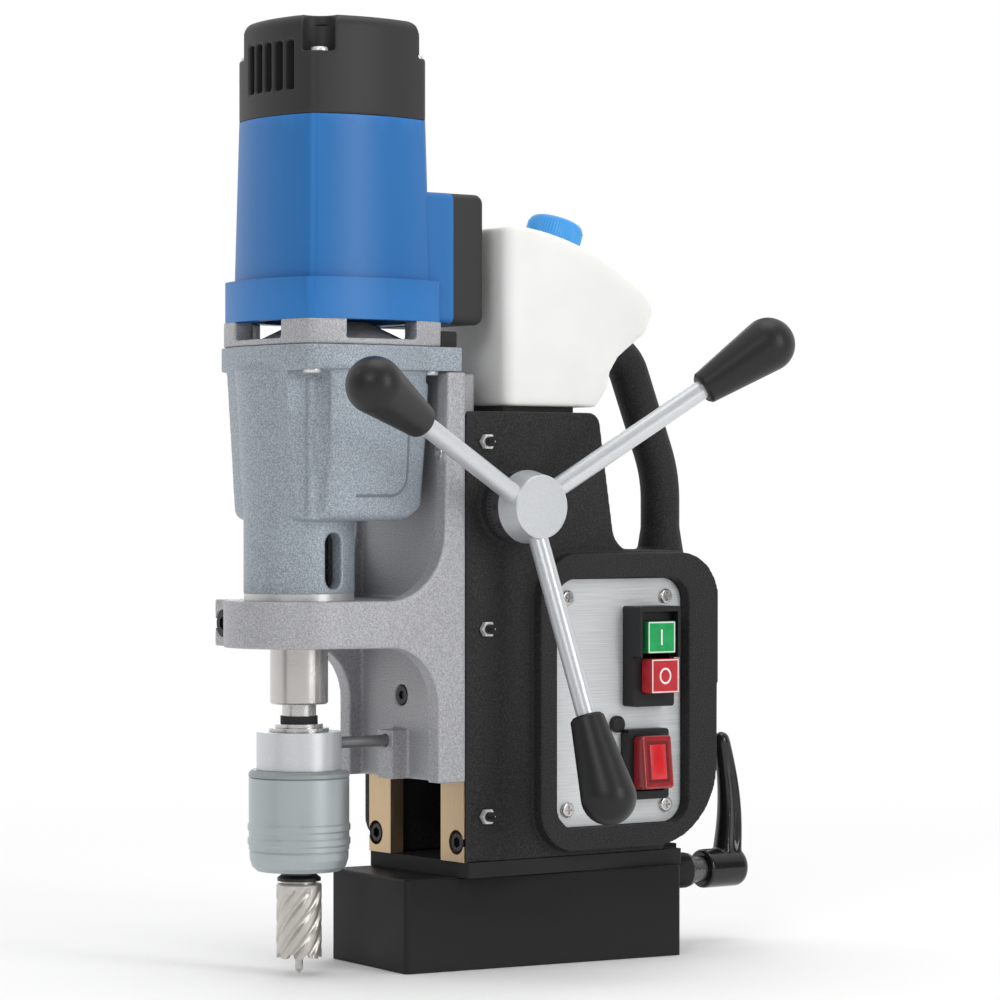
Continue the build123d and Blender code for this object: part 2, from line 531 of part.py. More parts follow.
def make_feed(parts):
    length = CARRIAGE_Z[1] - CARRIAGE_Z[0] - 4
    outline = Polyline(*[(-RACK_HALF_WIDTH, y, z) for y, z in rack_profile(length)], close=True)
    parts["feed_rack"] = extrude(Face(Wire(outline.edges())), amount=2 * RACK_HALF_WIDTH, dir=(1, 0, 0))

    shaft = rod((-43, FEED_Y, FEED_Z), (1, 0, 0), FEED_SHAFT_RADIUS, HUB_X[0] + 46)
    pinion = gear(FEED_TEETH, FEED_MODULE, (-8.5, 8.5), (0, 0), 180.0)
    pinion = Plane(origin=(0, FEED_Y, FEED_Z), x_dir=(0, 1, 0), z_dir=(1, 0, 0)) * pinion
    parts["pinion_shaft"] = shaft + pinion
    parts["pinion_bushes"] = Compound(children=[
        ring((x, FEED_Y, FEED_Z), (1, 0, 0), 11.0 - FIT, FEED_SHAFT_RADIUS + RUNNING, 14.5)
        for x in (-44, 29.5)])
    parts["scale_dial"] = ring((DIAL_X[0], FEED_Y, FEED_Z), (1, 0, 0), DIAL_RADIUS, FEED_SHAFT_RADIUS + FIT,
                               DIAL_X[1] - DIAL_X[0])

    hub = cone((HUB_X[0], FEED_Y, FEED_Z), (1, 0, 0), HUB_BACK_RADIUS, HUB_FACE_RADIUS, HUB_X[1] - HUB_X[0])
    hub = chamfer(hub.edges().sort_by(Axis.X)[-1], 0.6)
    hub -= rod((HUB_X[0] - 1, FEED_Y, FEED_Z), (1, 0, 0), FEED_SHAFT_RADIUS + FIT, 4.1)
    spokes = []
    grips = []
    tilt = math.radians(SPOKE_TILT)
    for angle, reach in zip(SPOKE_ANGLES, SPOKE_REACH):
        grip_start = reach - GRIP_LENGTH
        turn = math.radians(angle)
        along = Vector(math.sin(tilt), math.cos(tilt) * math.cos(turn), math.cos(tilt) * math.sin(turn))
        centre = Vector(SPOKE_X, FEED_Y, FEED_Z)
        hub -= rod(centre + along * SPOKE_START, along, SPOKE_RADIUS + FIT, 30)
        spokes.append(rod(centre + along * (SPOKE_START + FIT), along, SPOKE_RADIUS, reach - SPOKE_START))
        tangent = math.atan2(GRIP_RADIUS - GRIP_NECK_RADIUS, GRIP_LENGTH)
        touch_s = reach - GRIP_RADIUS * math.sin(tangent)
        touch_r = GRIP_RADIUS * math.cos(tangent)
        middle = math.radians(40)
        with BuildLine() as outline:
            Polyline((0, reach + GRIP_RADIUS), (0, grip_start), (GRIP_NECK_RADIUS - 1.5, grip_start),
                     (GRIP_NECK_RADIUS, grip_start + 1.5), (touch_r, touch_s))
            ThreePointArc((touch_r, touch_s),
                          (GRIP_RADIUS * math.cos(middle), reach + GRIP_RADIUS * math.sin(middle)),
                          (0, reach + GRIP_RADIUS))
        flat = Plane.XZ * Face(Wire(outline.edges()))
        grip = revolve(flat, Axis.Z)
        grip -= rod((0, 0, grip_start - 1), (0, 0, 1), SPOKE_RADIUS + FIT, GRIP_LENGTH + 1.5)
        grips.append(Plane(origin=centre, z_dir=along) * grip)
    parts["capstan_hub"] = hub
    parts["capstan_spokes"] = Compound(children=spokes)
    parts["capstan_grips"] = Compound(children=grips)


def make_carriage(parts):
    low, high = CARRIAGE_Z
    body = block((-HALF_WIDTH, HALF_WIDTH), (BACK_WALL_FRONT, CARRIAGE_REAR), (low, high))
    cheek_outline = [(CARRIAGE_REAR, low), (-50, low), (-50, ARM_Z[0]), (-82, ARM_Z[0]), (-82, ARM_Z[1]),
                     (-47, ARM_Z[1]), (-44, high), (CARRIAGE_REAR, high)]
    for edges in ((-HALF_WIDTH, -CHEEK_INSIDE), (CHEEK_INSIDE, HALF_WIDTH)):
        body += side_prism(cheek_outline, edges, [0, 0, 29, 0, 0, 34, 0, 0])
    arm_line = Polyline((-ARM_RADIUS, SPINDLE_Y), (-HALF_WIDTH, -82), (-HALF_WIDTH, BACK_WALL_FRONT),
                        (HALF_WIDTH, BACK_WALL_FRONT), (HALF_WIDTH, -82), (ARM_RADIUS, SPINDLE_Y), close=True)
    arm_face = Pos(0, 0, ARM_Z[0]) * Face(Wire(arm_line.edges()))
    arm = extrude(arm_face, amount=ARM_Z[1] - ARM_Z[0], dir=(0, 0, 1))
    arm += upright((0, SPINDLE_Y), ARM_RADIUS, ARM_Z)
    arm += block((-40, -27), (-129.5, -105), ARM_Z)
    body += arm
    body += block((-6.5, 6.5), (-52, BACK_WALL_FRONT + 1), (low, 121))
    body += rod((39, -44, 262), (0, -1, 0), 4.6, 2.2)
    neck_half = STRIP_HALF_GAP - 0.15
    right = SLOT_HALF_WIDTH - FIT - GIB_THICKNESS - 0.08
    body += block((-neck_half, neck_half), (CARRIAGE_REAR - 1, STRIP_BACK + 1), (low, high))
    body += block((-SLOT_HALF_WIDTH + 0.1, right), (STRIP_BACK + 0.1, TONGUE_REAR), (low, high))
    body -= block((-RACK_HALF_WIDTH - FIT, RACK_HALF_WIDTH + FIT), (STRIP_BACK, -10), (low - 1, high + 1))
    body -= upright((0, SPINDLE_Y), SPIGOT_RADIUS + FIT, (ARM_Z[0] - 1, ARM_Z[1] + 1))
    body -= block((-50, -25), (-117, -115), (ARM_Z[0] - 1, ARM_Z[1] + 1))
    body -= rod((-33.5, -131.5, 176), (0, 1, 0), 4.0 + FIT, 33.5)
    body -= rod((-33.5, -131.5, 176), (0, 1, 0), 6.8, 8)
    body -= rod((0, BACK_WALL_FRONT - 2, 138.5), (0, 1, 0), 5.35, 16)
    body -= rod((0, -60, 115.5), (0, 1, 0), 3.0 + FIT, 22)
    parts["carriage"] = body
    parts["arm_clamp_bolt"] = cap_screw((-33.5, -123.5 - FIT, 176), (0, -1, 0), 6.5, 5.0, 4.0, 23, 6.0)
    parts["coolant_ring"] = upright_ring((0, SPINDLE_Y), COOLANT_RING_RADIUS, 12.0 + RUNNING, COOLANT_RING_Z)
    parts["coolant_ring"] -= rod((0, SPINDLE_Y + 15, 115.5), (0, 1, 0), 3.0 + FIT, 10)
    parts["coolant_rod"] = rod((0, SPINDLE_Y + 15.5, 115.5), (0, 1, 0), 3.0, 48)


def drift_slot(half_length, half_width, z):
    """Cross slot through the spindle axis, turned a little from the X direction."""
    slot = soft_block((-half_length, half_length), (-half_width, half_width), z, half_width - 0.1, Axis.X)
    return Pos(0, SPINDLE_Y, 0) * (Rot(0, 0, DRIFT_TURN) * slot)


def corner_rod(quarter, turn, distances, radius):
    """Leaning bar beside a corner of the casing, from below it to the underside of its flange."""
    low = corner_point(distances[0], quarter, turn)
    high = corner_point(distances[1], quarter, turn)
    start = (low[0], low[1], GEARBOX_Z[0] - 2)
    lean = Vector(high[0] - low[0], high[1] - low[1], GEARBOX_Z[1] - start[2])
    return rod(start, lean, radius, lean.length - 0.6)


def make_gearbox(parts):
    shell = Pos(0, CASING_SHIFT, 0) * bulged_loft(CASING_BOTTOM, CASING_TOP, GEARBOX_Z, bulge=6.5)
    shell = fillet(shell.faces().sort_by(Axis.Z)[0].edges(), 6)
    wedge = Polyline((-66, 227.5), (-40, 227.5), (-40, 243), close=True)
    wedge = Plane(origin=(-60, 0, 0), x_dir=(0, 1, 0), z_dir=(1, 0, 0)) * Face(Wire(wedge.edges()))
    shell -= extrude(wedge, amount=120)
    shell += upright((0, SPINDLE_Y), NECK_RADIUS, NECK_Z)
    shell += cone((0, SPINDLE_Y, NECK_Z[1]), (0, 0, 1), NECK_RADIUS, 32.0, GEARBOX_Z[1] - NECK_Z[1])
    shell += upright((0, SPINDLE_Y), NECK_RADIUS - 0.6, COLLAR_Z)
    shell += upright((0, SPINDLE_Y), SPIGOT_RADIUS, (ARM_Z[0] + TOUCH, COLLAR_Z[0]))
    shell += bulged_prism(57.8, (GEARBOX_Z[1], GEARBOX_FLANGE_TOP), bulge=6.5, rounding=6)
    shell += block((-44, 44), (-64, -34.5), (GEARBOX_Z[1], GEARBOX_FLANGE_TOP))
    for quarter in range(4):
        wide = quarter == 3
        scoop = corner_rod(quarter, 0, (63.5, 61.5) if wide else (60, 60), 18.0 if wide else 11.0)
        if wide:
            for turn, distances in ((-2.5, (45.6, 43.6)), (12.5, (49.9, 47.9))):
                scoop -= corner_rod(quarter, turn, distances, 2.2)
        shell -= scoop
    cluster = cluster_centre()
    shell -= upright((0, MOTOR_Y), 33.0, (250, GEARBOX_FLANGE_TOP))
    shell -= upright((0, SPINDLE_Y), 19.5, (240, GEARBOX_FLANGE_TOP))
    shell -= upright(cluster, 18.0, (250, GEARBOX_FLANGE_TOP))
    shell -= upright(cluster, CLUSTER_SHAFT_RADIUS + RUNNING, (243, 260))
    shell -= upright((0, SPINDLE_Y), BEARING_BORE_RADIUS, (ARM_Z[0] - 1, 241))
    shell -= drift_slot(40, 5.0, (194, 222))
    for quarter in range(4):
        shell -= upright(corner_point(50, quarter), 2.5 + FIT, (GEARBOX_Z[1] - 2, GEARBOX_FLANGE_TOP + 1))
        shell -= upright(corner_point(50, quarter), 5.4, (GEARBOX_Z[1] - 6, GEARBOX_Z[1]))
    parts["gearbox_housing"] = shell
    races = [upright_ring((0, SPINDLE_Y), BEARING_BORE_RADIUS - FIT, SPINDLE_RADIUS + FIT, z)
             for z in ((167, 181), (224, 238))]
    races.append(upright_ring((0, MOTOR_Y), 16.0 - FIT, 6.0 + FIT, (317 + TOUCH, 327)))
    races.append(upright_ring((0, MOTOR_Y), 11.0 - FIT, 5.0 + FIT, (453, 462)))
    parts["ball_bearings"] = Compound(children=races)

    plate_z = (GEARBOX_FLANGE_TOP + FIT, BEARING_PLATE_TOP)
    plate = bulged_prism(56.4, plate_z, rounding=5)
    plate -= block((-60, 60), (MOTOR_Y - 21, MOTOR_Y + 21), (318.6, 340))
    plate -= block((-21, 21), (MOTOR_Y - 70, MOTOR_Y + 70), (318.6, 340))
    plate -= upright((0, MOTOR_Y), 40.0, (318.6, 340))
    plate += cone((0, MOTOR_Y, 318.6), (0, 0, 1), 38.0, 18.5, BEARING_PLATE_TOP - 318.6)
    plate -= upright((0, MOTOR_Y), 16.0, (317, 340))
    plate -= upright((0, MOTOR_Y), 9.0, (310, 340))
    plate -= upright(cluster, CLUSTER_SHAFT_RADIUS + RUNNING, (310, 317))
    for quarter in range(4):
        plate -= upright(corner_point(50, quarter), 2.5 + FIT, (310, 321))
    parts["bearing_plate"] = plate
    grommet = soft_block((16, 40), (-47, -35.5), (GEARBOX_FLANGE_TOP + FIT, 323.5), 1.5, Axis.X)
    parts["cable_clamp"] = grommet - bulged_prism(56.6, (310, 330), rounding=5)


def cluster_centre():
    first = GEAR_MODULE * (ARMATURE_TEETH + CLUSTER_LARGE_TEETH) / 2
    second = GEAR_MODULE * (CLUSTER_SMALL_TEETH + SPINDLE_TEETH) / 2
    apart = MOTOR_Y - SPINDLE_Y
    down = (first ** 2 - second ** 2 + apart ** 2) / (2 * apart)
    return (math.sqrt(first ** 2 - down ** 2), MOTOR_Y - down)


def make_motor(parts):
    shell = bulged_prism(55.8, (BEARING_PLATE_TOP + FIT, MOTOR_FLANGE_TOP), rounding=6)
    shell += bulged_loft(50.8, 48.4, (MOTOR_FLANGE_TOP, MOTOR_TOP))
    shell += soft_block((-BOX_HALF_WIDTH, BOX_HALF_WIDTH), (-60, BOX_SEAM_Y), BOX_Z, 4, Axis.Y)
    shell -= block((-50, 50), (-64, -36), (320, BEARING_PLATE_TOP + FIT))
    shell -= upright((0, MOTOR_Y), STATOR_RADIUS, (BEARING_PLATE_TOP, MOTOR_TOP))
    shell -= block((-BOX_HALF_WIDTH + 4, BOX_HALF_WIDTH - 4), (-50, BOX_SEAM_Y), (BOX_Z[0] + 5, BOX_Z[1] - 4))
    parts["motor_housing"] = shell
    cover = block((-BOX_HALF_WIDTH, BOX_HALF_WIDTH), (BOX_SEAM_Y + FIT, BOX_BACK_Y), BOX_Z)
    cover = fillet(cover.edges().filter_by(Axis.Y), 5)
    cover = fillet(cover.faces().sort_by(Axis.Y)[-1].edges(), 4)
    inner_half = BOX_HALF_WIDTH - 4
    cover -= block((-inner_half, inner_half), (BOX_SEAM_Y, BOX_BACK_Y - 4), (BOX_Z[0] + 4, BOX_Z[1] - 4))
    parts["electronics_cover"] = cover

    cap = bulged_prism(48.4, (MOTOR_TOP + FIT, CAP_TOP))
    cap = fillet(cap.faces().sort_by(Axis.Z)[-1].edges(), 6)
    cap -= upright((0, MOTOR_Y), 35.0, (MOTOR_TOP, CAP_TOP - 5))
    for index in range(5):
        x = 8.2 * (index - 2) + 3.8
        cap -= soft_block((x - 2.9, x + 2.9), (-140, -100), (442.2, 466.3), 0.6, Axis.Y)
    for quarter in range(4):
        cap -= upright(corner_point(47.0, quarter, SCREW_TURN), 8.5, (CAP_SEAT, CAP_TOP + 1))
        cap -= upright(corner_point(CAP_SCREW_DISTANCE, quarter, SCREW_TURN), 8.0, (CAP_SEAT, CAP_TOP + 1))
        cap -= upright(corner_point(CAP_SCREW_DISTANCE, quarter, SCREW_TURN), 2.0 + FIT, (MOTOR_TOP - 1, 466))
    cap += upright_ring((0, MOTOR_Y), 14.0, 11.0, (452, CAP_TOP - 4))
    parts["motor_cap"] = cap
    for quarter in range(4):
        place = corner_point(CAP_SCREW_DISTANCE, quarter, SCREW_TURN)
        parts["motor_housing"] -= upright(place, 2.0 + FIT, (420, MOTOR_TOP + 1))
    screws = [cross_screw((*corner_point(CAP_SCREW_DISTANCE, quarter, SCREW_TURN), CAP_SEAT + FIT), (0, 0, 1),
                          4.2, 2.0, 39) for quarter in range(4)]
    screws += [cross_screw((*corner_point(50, quarter), GEARBOX_Z[1] - TOUCH), (0, 0, -1), 4.6, 2.5, 16)
               for quarter in range(4)]
    parts["casing_screws"] = Compound(children=screws)

    parts["motor_stator"] = upright_ring((0, MOTOR_Y), STATOR_RADIUS - FIT, 24.3, (352, 412))
    shaft = upright((0, MOTOR_Y), 3.9, (294, 317)) + upright((0, MOTOR_Y), 6.0, (317, 452))
    shaft += upright((0, MOTOR_Y), 5.0, (452, 466)) + upright((0, MOTOR_Y), 14.0, (418, 434))
    shaft += gear(ARMATURE_TEETH, GEAR_MODULE, (284, 295), (0, MOTOR_Y), armature_phase())
    parts["armature_shaft"] = shaft
    parts["armature_core"] = upright_ring((0, MOTOR_Y), ARMATURE_RADIUS, 6.0 + FIT, (355, 408))
    fan = upright_ring((0, MOTOR_Y), 10.0, 6.0 + FIT, (333, 348))
    fan += upright_ring((0, MOTOR_Y), 33.0, 9.0, (333, 335))
    for blade in range(9):
        vane = block((9, 33), (-0.9, 0.9), (334, 347))
        fan += Pos(0, MOTOR_Y, 0) * (Rot(0, 0, 40 * blade) * vane)
    parts["motor_fan"] = fan
    brush_places = ((14 + TOUCH, 30), (-30, -14 - TOUCH))
    parts["carbon_brushes"] = Compound(children=[
        block(x, (MOTOR_Y - 4, MOTOR_Y + 4), (421, 430)) for x in brush_places])

    centre = cluster_centre()
    cluster = upright(centre, CLUSTER_SHAFT_RADIUS, (243.5, 316.5))
    cluster += gear(CLUSTER_LARGE_TEETH, GEAR_MODULE, (285.5, 293.5), centre, large_phase())
    cluster += gear(CLUSTER_SMALL_TEETH, GEAR_MODULE, (260.5, 277.5), centre, small_phase())
    cluster += upright(centre, 6.0, (277.5, 286))
    parts["cluster_gear"] = cluster


def mesh_angle(start, end):
    return math.degrees(math.atan2(end[1] - start[1], end[0] - start[0]))


def armature_phase():
    return mesh_angle((0, MOTOR_Y), cluster_centre())


def large_phase():
    return armature_phase() + 180 + 180 / CLUSTER_LARGE_TEETH


def small_phase():
    return mesh_angle(cluster_centre(), (0, SPINDLE_Y))


def spindle_phase():
    return small_phase() + 180 + 180 / SPINDLE_TEETH


def make_spindle(parts):
    axis = (0, SPINDLE_Y)
    body = upright(axis, SPINDLE_RADIUS, (SPINDLE_Z[0], 246)) + upright(axis, 11.0, (246, SPINDLE_Z[1]))
    body = chamfer(body.edges().sort_by(Axis.Z)[0], 0.8)
    body -= upright(axis, SHANK_RADIUS + FIT, (SPINDLE_Z[0] - 1, 192))
    body -= drift_slot(20, 3.5, (186, 216))
    parts["spindle"] = body
    wheel = gear(SPINDLE_TEETH, GEAR_MODULE, (262, 276), axis, spindle_phase())
    parts["spindle_gear"] = wheel - upright(axis, 11.0 + FIT, (260, 280))

    low, high = CHUCK_Z
    chuck = upright(axis, CHUCK_RADIUS, (99.6, high)) + upright(axis, 20.0, (low + 0.4, 99.7))
    chuck = chamfer(chuck.edges().sort_by(Axis.Z)[-1], 1.6)
    chuck += upright(axis, 12.0, (high - 1, 122.2)) + upright(axis, SHANK_RADIUS, (122, 185))
    chuck -= upright(axis, 9.5 + FIT, (low, 86))
    parts["tool_chuck"] = chuck
    with BuildLine() as outline:
        Polyline((20 + RUNNING, 99.5), (20 + RUNNING, low), (21.2, low), (23.6, low + 2.2), (24.8, low + 6),
                 (25.0, 61.8), (24.7, 62.2), (24.7, 62.6), (25.3, 63.0), (25.3, 65), (25.9, 66), (25.9, 68.5),
                 (25.3, 69.5),
                 (25.3, 72), (25.9, 73), (25.9, 75.5), (25.3, 76.5), (25.3, 98.8), (24.7, 99.5), close=True)
    sleeve = revolve(Plane.XZ * Face(Wire(outline.edges())), Axis.Z)
    parts["chuck_sleeve"] = Pos(0, SPINDLE_Y, 0) * sleeve
    parts["retaining_washers"] = Compound(children=[
        upright_ring(axis, 15.0, SHANK_RADIUS + FIT, (122.2 + FIT, 124)),
        upright_ring(axis, 12.0, SHANK_RADIUS + FIT, (124 + FIT, 126))])
    parts["spindle_seal"] = upright_ring(axis, 9.4, SHANK_RADIUS + FIT, (126 + FIT, 130))

    cutter = upright(axis, CUTTER_RADIUS, CUTTER_Z) + upright(axis, 8.5, (45, 85))
    cutter -= upright(axis, 8.2, (0, 38))
    cutter -= upright(axis, 2.0 + RUNNING, (30, 60))
    cutter -= upright(axis, 4.0, (52, 90))
    parts["annular_cutter"] = cutter
    collar = upright(axis, 11.0, (CUTTER_Z[1] + FIT, 48.6))
    collar += cone((0, SPINDLE_Y, 48.6), (0, 0, 1), 11.0, 9.0, 1.6)
    collar += upright(axis, 9.0, (50.2, 52.2))
    parts["shank_collar"] = collar - upright(axis, 8.5 + FIT, (CUTTER_Z[1] - 1, 53))
    pin = upright(axis, 2.0, (PILOT_TIP + 2, 60)) + upright(axis, 3.8, (60, 64))
    pin += cone((0, SPINDLE_Y, PILOT_TIP), (0, 0, 1), 0.5, 2.0, 2)
    parts["pilot_pin"] = pin


def main():
    parts = {}
    make_foot(parts)
    make_swivel(parts)
    make_housing(parts)
    make_guide(parts)
    make_tank(parts)
    make_controls(parts)
    make_feed(parts)
    make_carriage(parts)
    make_gearbox(parts)
    make_motor(parts)
    make_spindle(parts)
    os.makedirs("parts", exist_ok=True)
    for name, shape in parts.items():
        export_step(shape, f"parts/{name}.step")
    print(len(parts), "parts")


main()
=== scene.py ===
import bpy
import bmesh
import json
import math
from mathutils import Matrix, Vector
from mathutils.bvhtree import BVHTree


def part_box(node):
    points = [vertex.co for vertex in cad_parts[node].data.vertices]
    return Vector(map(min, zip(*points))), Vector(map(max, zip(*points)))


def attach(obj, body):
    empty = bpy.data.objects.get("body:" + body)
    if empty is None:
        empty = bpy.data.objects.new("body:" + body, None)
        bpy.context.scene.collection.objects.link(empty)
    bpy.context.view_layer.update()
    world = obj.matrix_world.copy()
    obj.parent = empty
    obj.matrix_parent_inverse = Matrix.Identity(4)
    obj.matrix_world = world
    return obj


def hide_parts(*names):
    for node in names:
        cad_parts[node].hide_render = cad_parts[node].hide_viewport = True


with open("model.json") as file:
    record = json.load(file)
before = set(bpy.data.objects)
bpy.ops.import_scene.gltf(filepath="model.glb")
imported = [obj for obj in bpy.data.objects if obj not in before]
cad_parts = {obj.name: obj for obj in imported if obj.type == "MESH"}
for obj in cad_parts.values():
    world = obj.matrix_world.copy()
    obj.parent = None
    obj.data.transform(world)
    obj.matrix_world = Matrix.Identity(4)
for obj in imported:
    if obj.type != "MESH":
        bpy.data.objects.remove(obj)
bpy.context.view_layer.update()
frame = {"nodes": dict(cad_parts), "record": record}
nodes = frame["nodes"]
MM = 0.001
SPINDLE_Y = -104.4
MOTOR_Y = -84.5

# ---------------------------------------------------------------- camera and studio

CAMERA_AZIMUTH = math.radians(53.72)
CAMERA_TARGET = Vector((-0.0048, 0.0245, 0.2384))
CAMERA_DISTANCE = 1.983
CAMERA_LENS = 136.2
CAMERA_SENSOR = 36.0


def add_camera():
    """A level camera on the operator's side of the spindle."""
    data = bpy.data.cameras.new("camera")
    data.lens = CAMERA_LENS
    data.sensor_width = CAMERA_SENSOR
    data.clip_start = 0.05
    camera = bpy.data.objects.new("camera", data)
    bpy.context.scene.collection.objects.link(camera)
    towards = Vector((-math.sin(CAMERA_AZIMUTH), math.cos(CAMERA_AZIMUTH), 0.0))
    camera.location = CAMERA_TARGET - towards * CAMERA_DISTANCE
    camera.rotation_euler = (math.radians(90.0), 0.0, CAMERA_AZIMUTH)
    bpy.context.scene.camera = camera


def add_light(name, location, size, power):
    data = bpy.data.lights.new(name, "AREA")
    data.shape = "RECTANGLE"
    data.size = size[0]
    data.size_y = size[1]
    data.energy = power
    light = bpy.data.objects.new(name, data)
    bpy.context.scene.collection.objects.link(light)
    light.location = location
    aim = Vector((0, 0, 0.24)) - Vector(location)
    light.rotation_euler = aim.to_track_quat("-Z", "Y").to_euler()


def around(azimuth, distance, height):
    """Point at a distance from the object; azimuth 0 is in front of the spindle, 90 on the operator's side."""
    turn = math.radians(azimuth)
    return (math.sin(turn) * distance, -math.cos(turn) * distance, height)


def add_card(name, azimuth, width, height, level):
    """A black card beside the set that only reflections see, as photographers use for dark edges on metal."""
    mesh = bpy.data.meshes.new(name)
    bm = bmesh.new()
    bmesh.ops.create_grid(bm, x_segments=1, y_segments=1, size=0.5)
    bm.to_mesh(mesh)
    bm.free()
    card = bpy.data.objects.new(name, mesh)
    bpy.context.scene.collection.objects.link(card)
    card.location = around(azimuth, 1.6, level)
    aim = Vector((0, 0, level)) - card.location
    card.rotation_euler = aim.to_track_quat("Z", "Y").to_euler()
    card.scale = (width, height, 1)
    finish = Finish(name)
    finish.set(base=(0.01, 0.01, 0.01), roughness=1.0)
    mesh.materials.append(finish.material)
    card.visible_camera = False
    card.visible_diffuse = False
    card.visible_shadow = False


def add_world():
    """White tent light, brightest behind the set and above, dimmer from the side that the camera stands on."""
    world = bpy.data.worlds.new("studio")
    world.use_nodes = True
    tree = world.node_tree
    direction = tree.nodes.new("ShaderNodeTexCoord").outputs["Generated"]
    dot = tree.nodes.new("ShaderNodeVectorMath")
    dot.operation = "DOT_PRODUCT"
    dot.inputs[1].default_value = (-math.sin(CAMERA_AZIMUTH), math.cos(CAMERA_AZIMUTH), 0.35)
    tree.links.new(direction, dot.inputs[0])
    shade = tree.nodes.new("ShaderNodeMapRange")
    shade.interpolation_type = "SMOOTHSTEP"
    shade.inputs["From Min"].default_value = -0.7
    shade.inputs["From Max"].default_value = 0.7
    shade.inputs["To Min"].default_value = 0.2
    shade.inputs["To Max"].default_value = 1.0
    tree.links.new(dot.outputs["Value"], shade.inputs["Value"])
    tree.links.new(shade.outputs["Result"], tree.nodes["Background"].inputs["Strength"])
    tree.nodes["Background"].inputs["Color"].default_value = (1.0, 1.0, 1.0, 1.0)
    bpy.context.scene.world = world


def add_studio():
    add_world()
    add_light("key", around(35, 2.0, 1.3), (0.8, 0.8), 11)
    add_light("side", around(105, 2.0, 0.8), (0.6, 1.2), 14)
    add_light("top", (0.1, 0.1, 2.0), (1.2, 1.2), 9)
    add_light("rim", around(235, 2.0, 1.0), (0.6, 1.2), 5)
    add_card("card_left", 0, 0.35, 2.4, 0.5)
    add_card("card_right", 130, 0.5, 2.4, 0.5)
    add_card("card_rear", 230, 0.5, 2.4, 0.5)
    scene = bpy.context.scene
    scene.view_settings.view_transform = "Standard"
    mesh = bpy.data.meshes.new("floor")
    bm = bmesh.new()
    bmesh.ops.create_circle(bm, cap_ends=True, segments=96, radius=30.0)
    bm.to_mesh(mesh)
    bm.free()
    floor = bpy.data.objects.new("floor", mesh)
    scene.collection.objects.link(floor)
    floor.location.z = -0.0002
    mesh.materials.append(floor_finish())


def floor_finish():
    """Pale paper by the object that fades, farther away, into glowing white like the backdrop."""
    finish = Finish("floor")
    finish.set(roughness=1.0, specular=0.0)
    distance = finish.tree.nodes.new("ShaderNodeVectorMath")
    distance.operation = "LENGTH"
    finish.tree.links.new(finish.place, distance.inputs[0])
    fade = finish.span(distance.outputs["Value"], 0.0, 1.0, 0.12, 1.2)
    finish.colour(finish.mix((0.9, 0.9, 0.9), (0.0, 0.0, 0.0), fade))
    finish.shader.inputs["Emission Color"].default_value = (1.0, 1.0, 1.0, 1.0)
    finish.tree.links.new(fade, finish.shader.inputs["Emission Strength"])
    return finish.material


# ---------------------------------------------------------------- materials


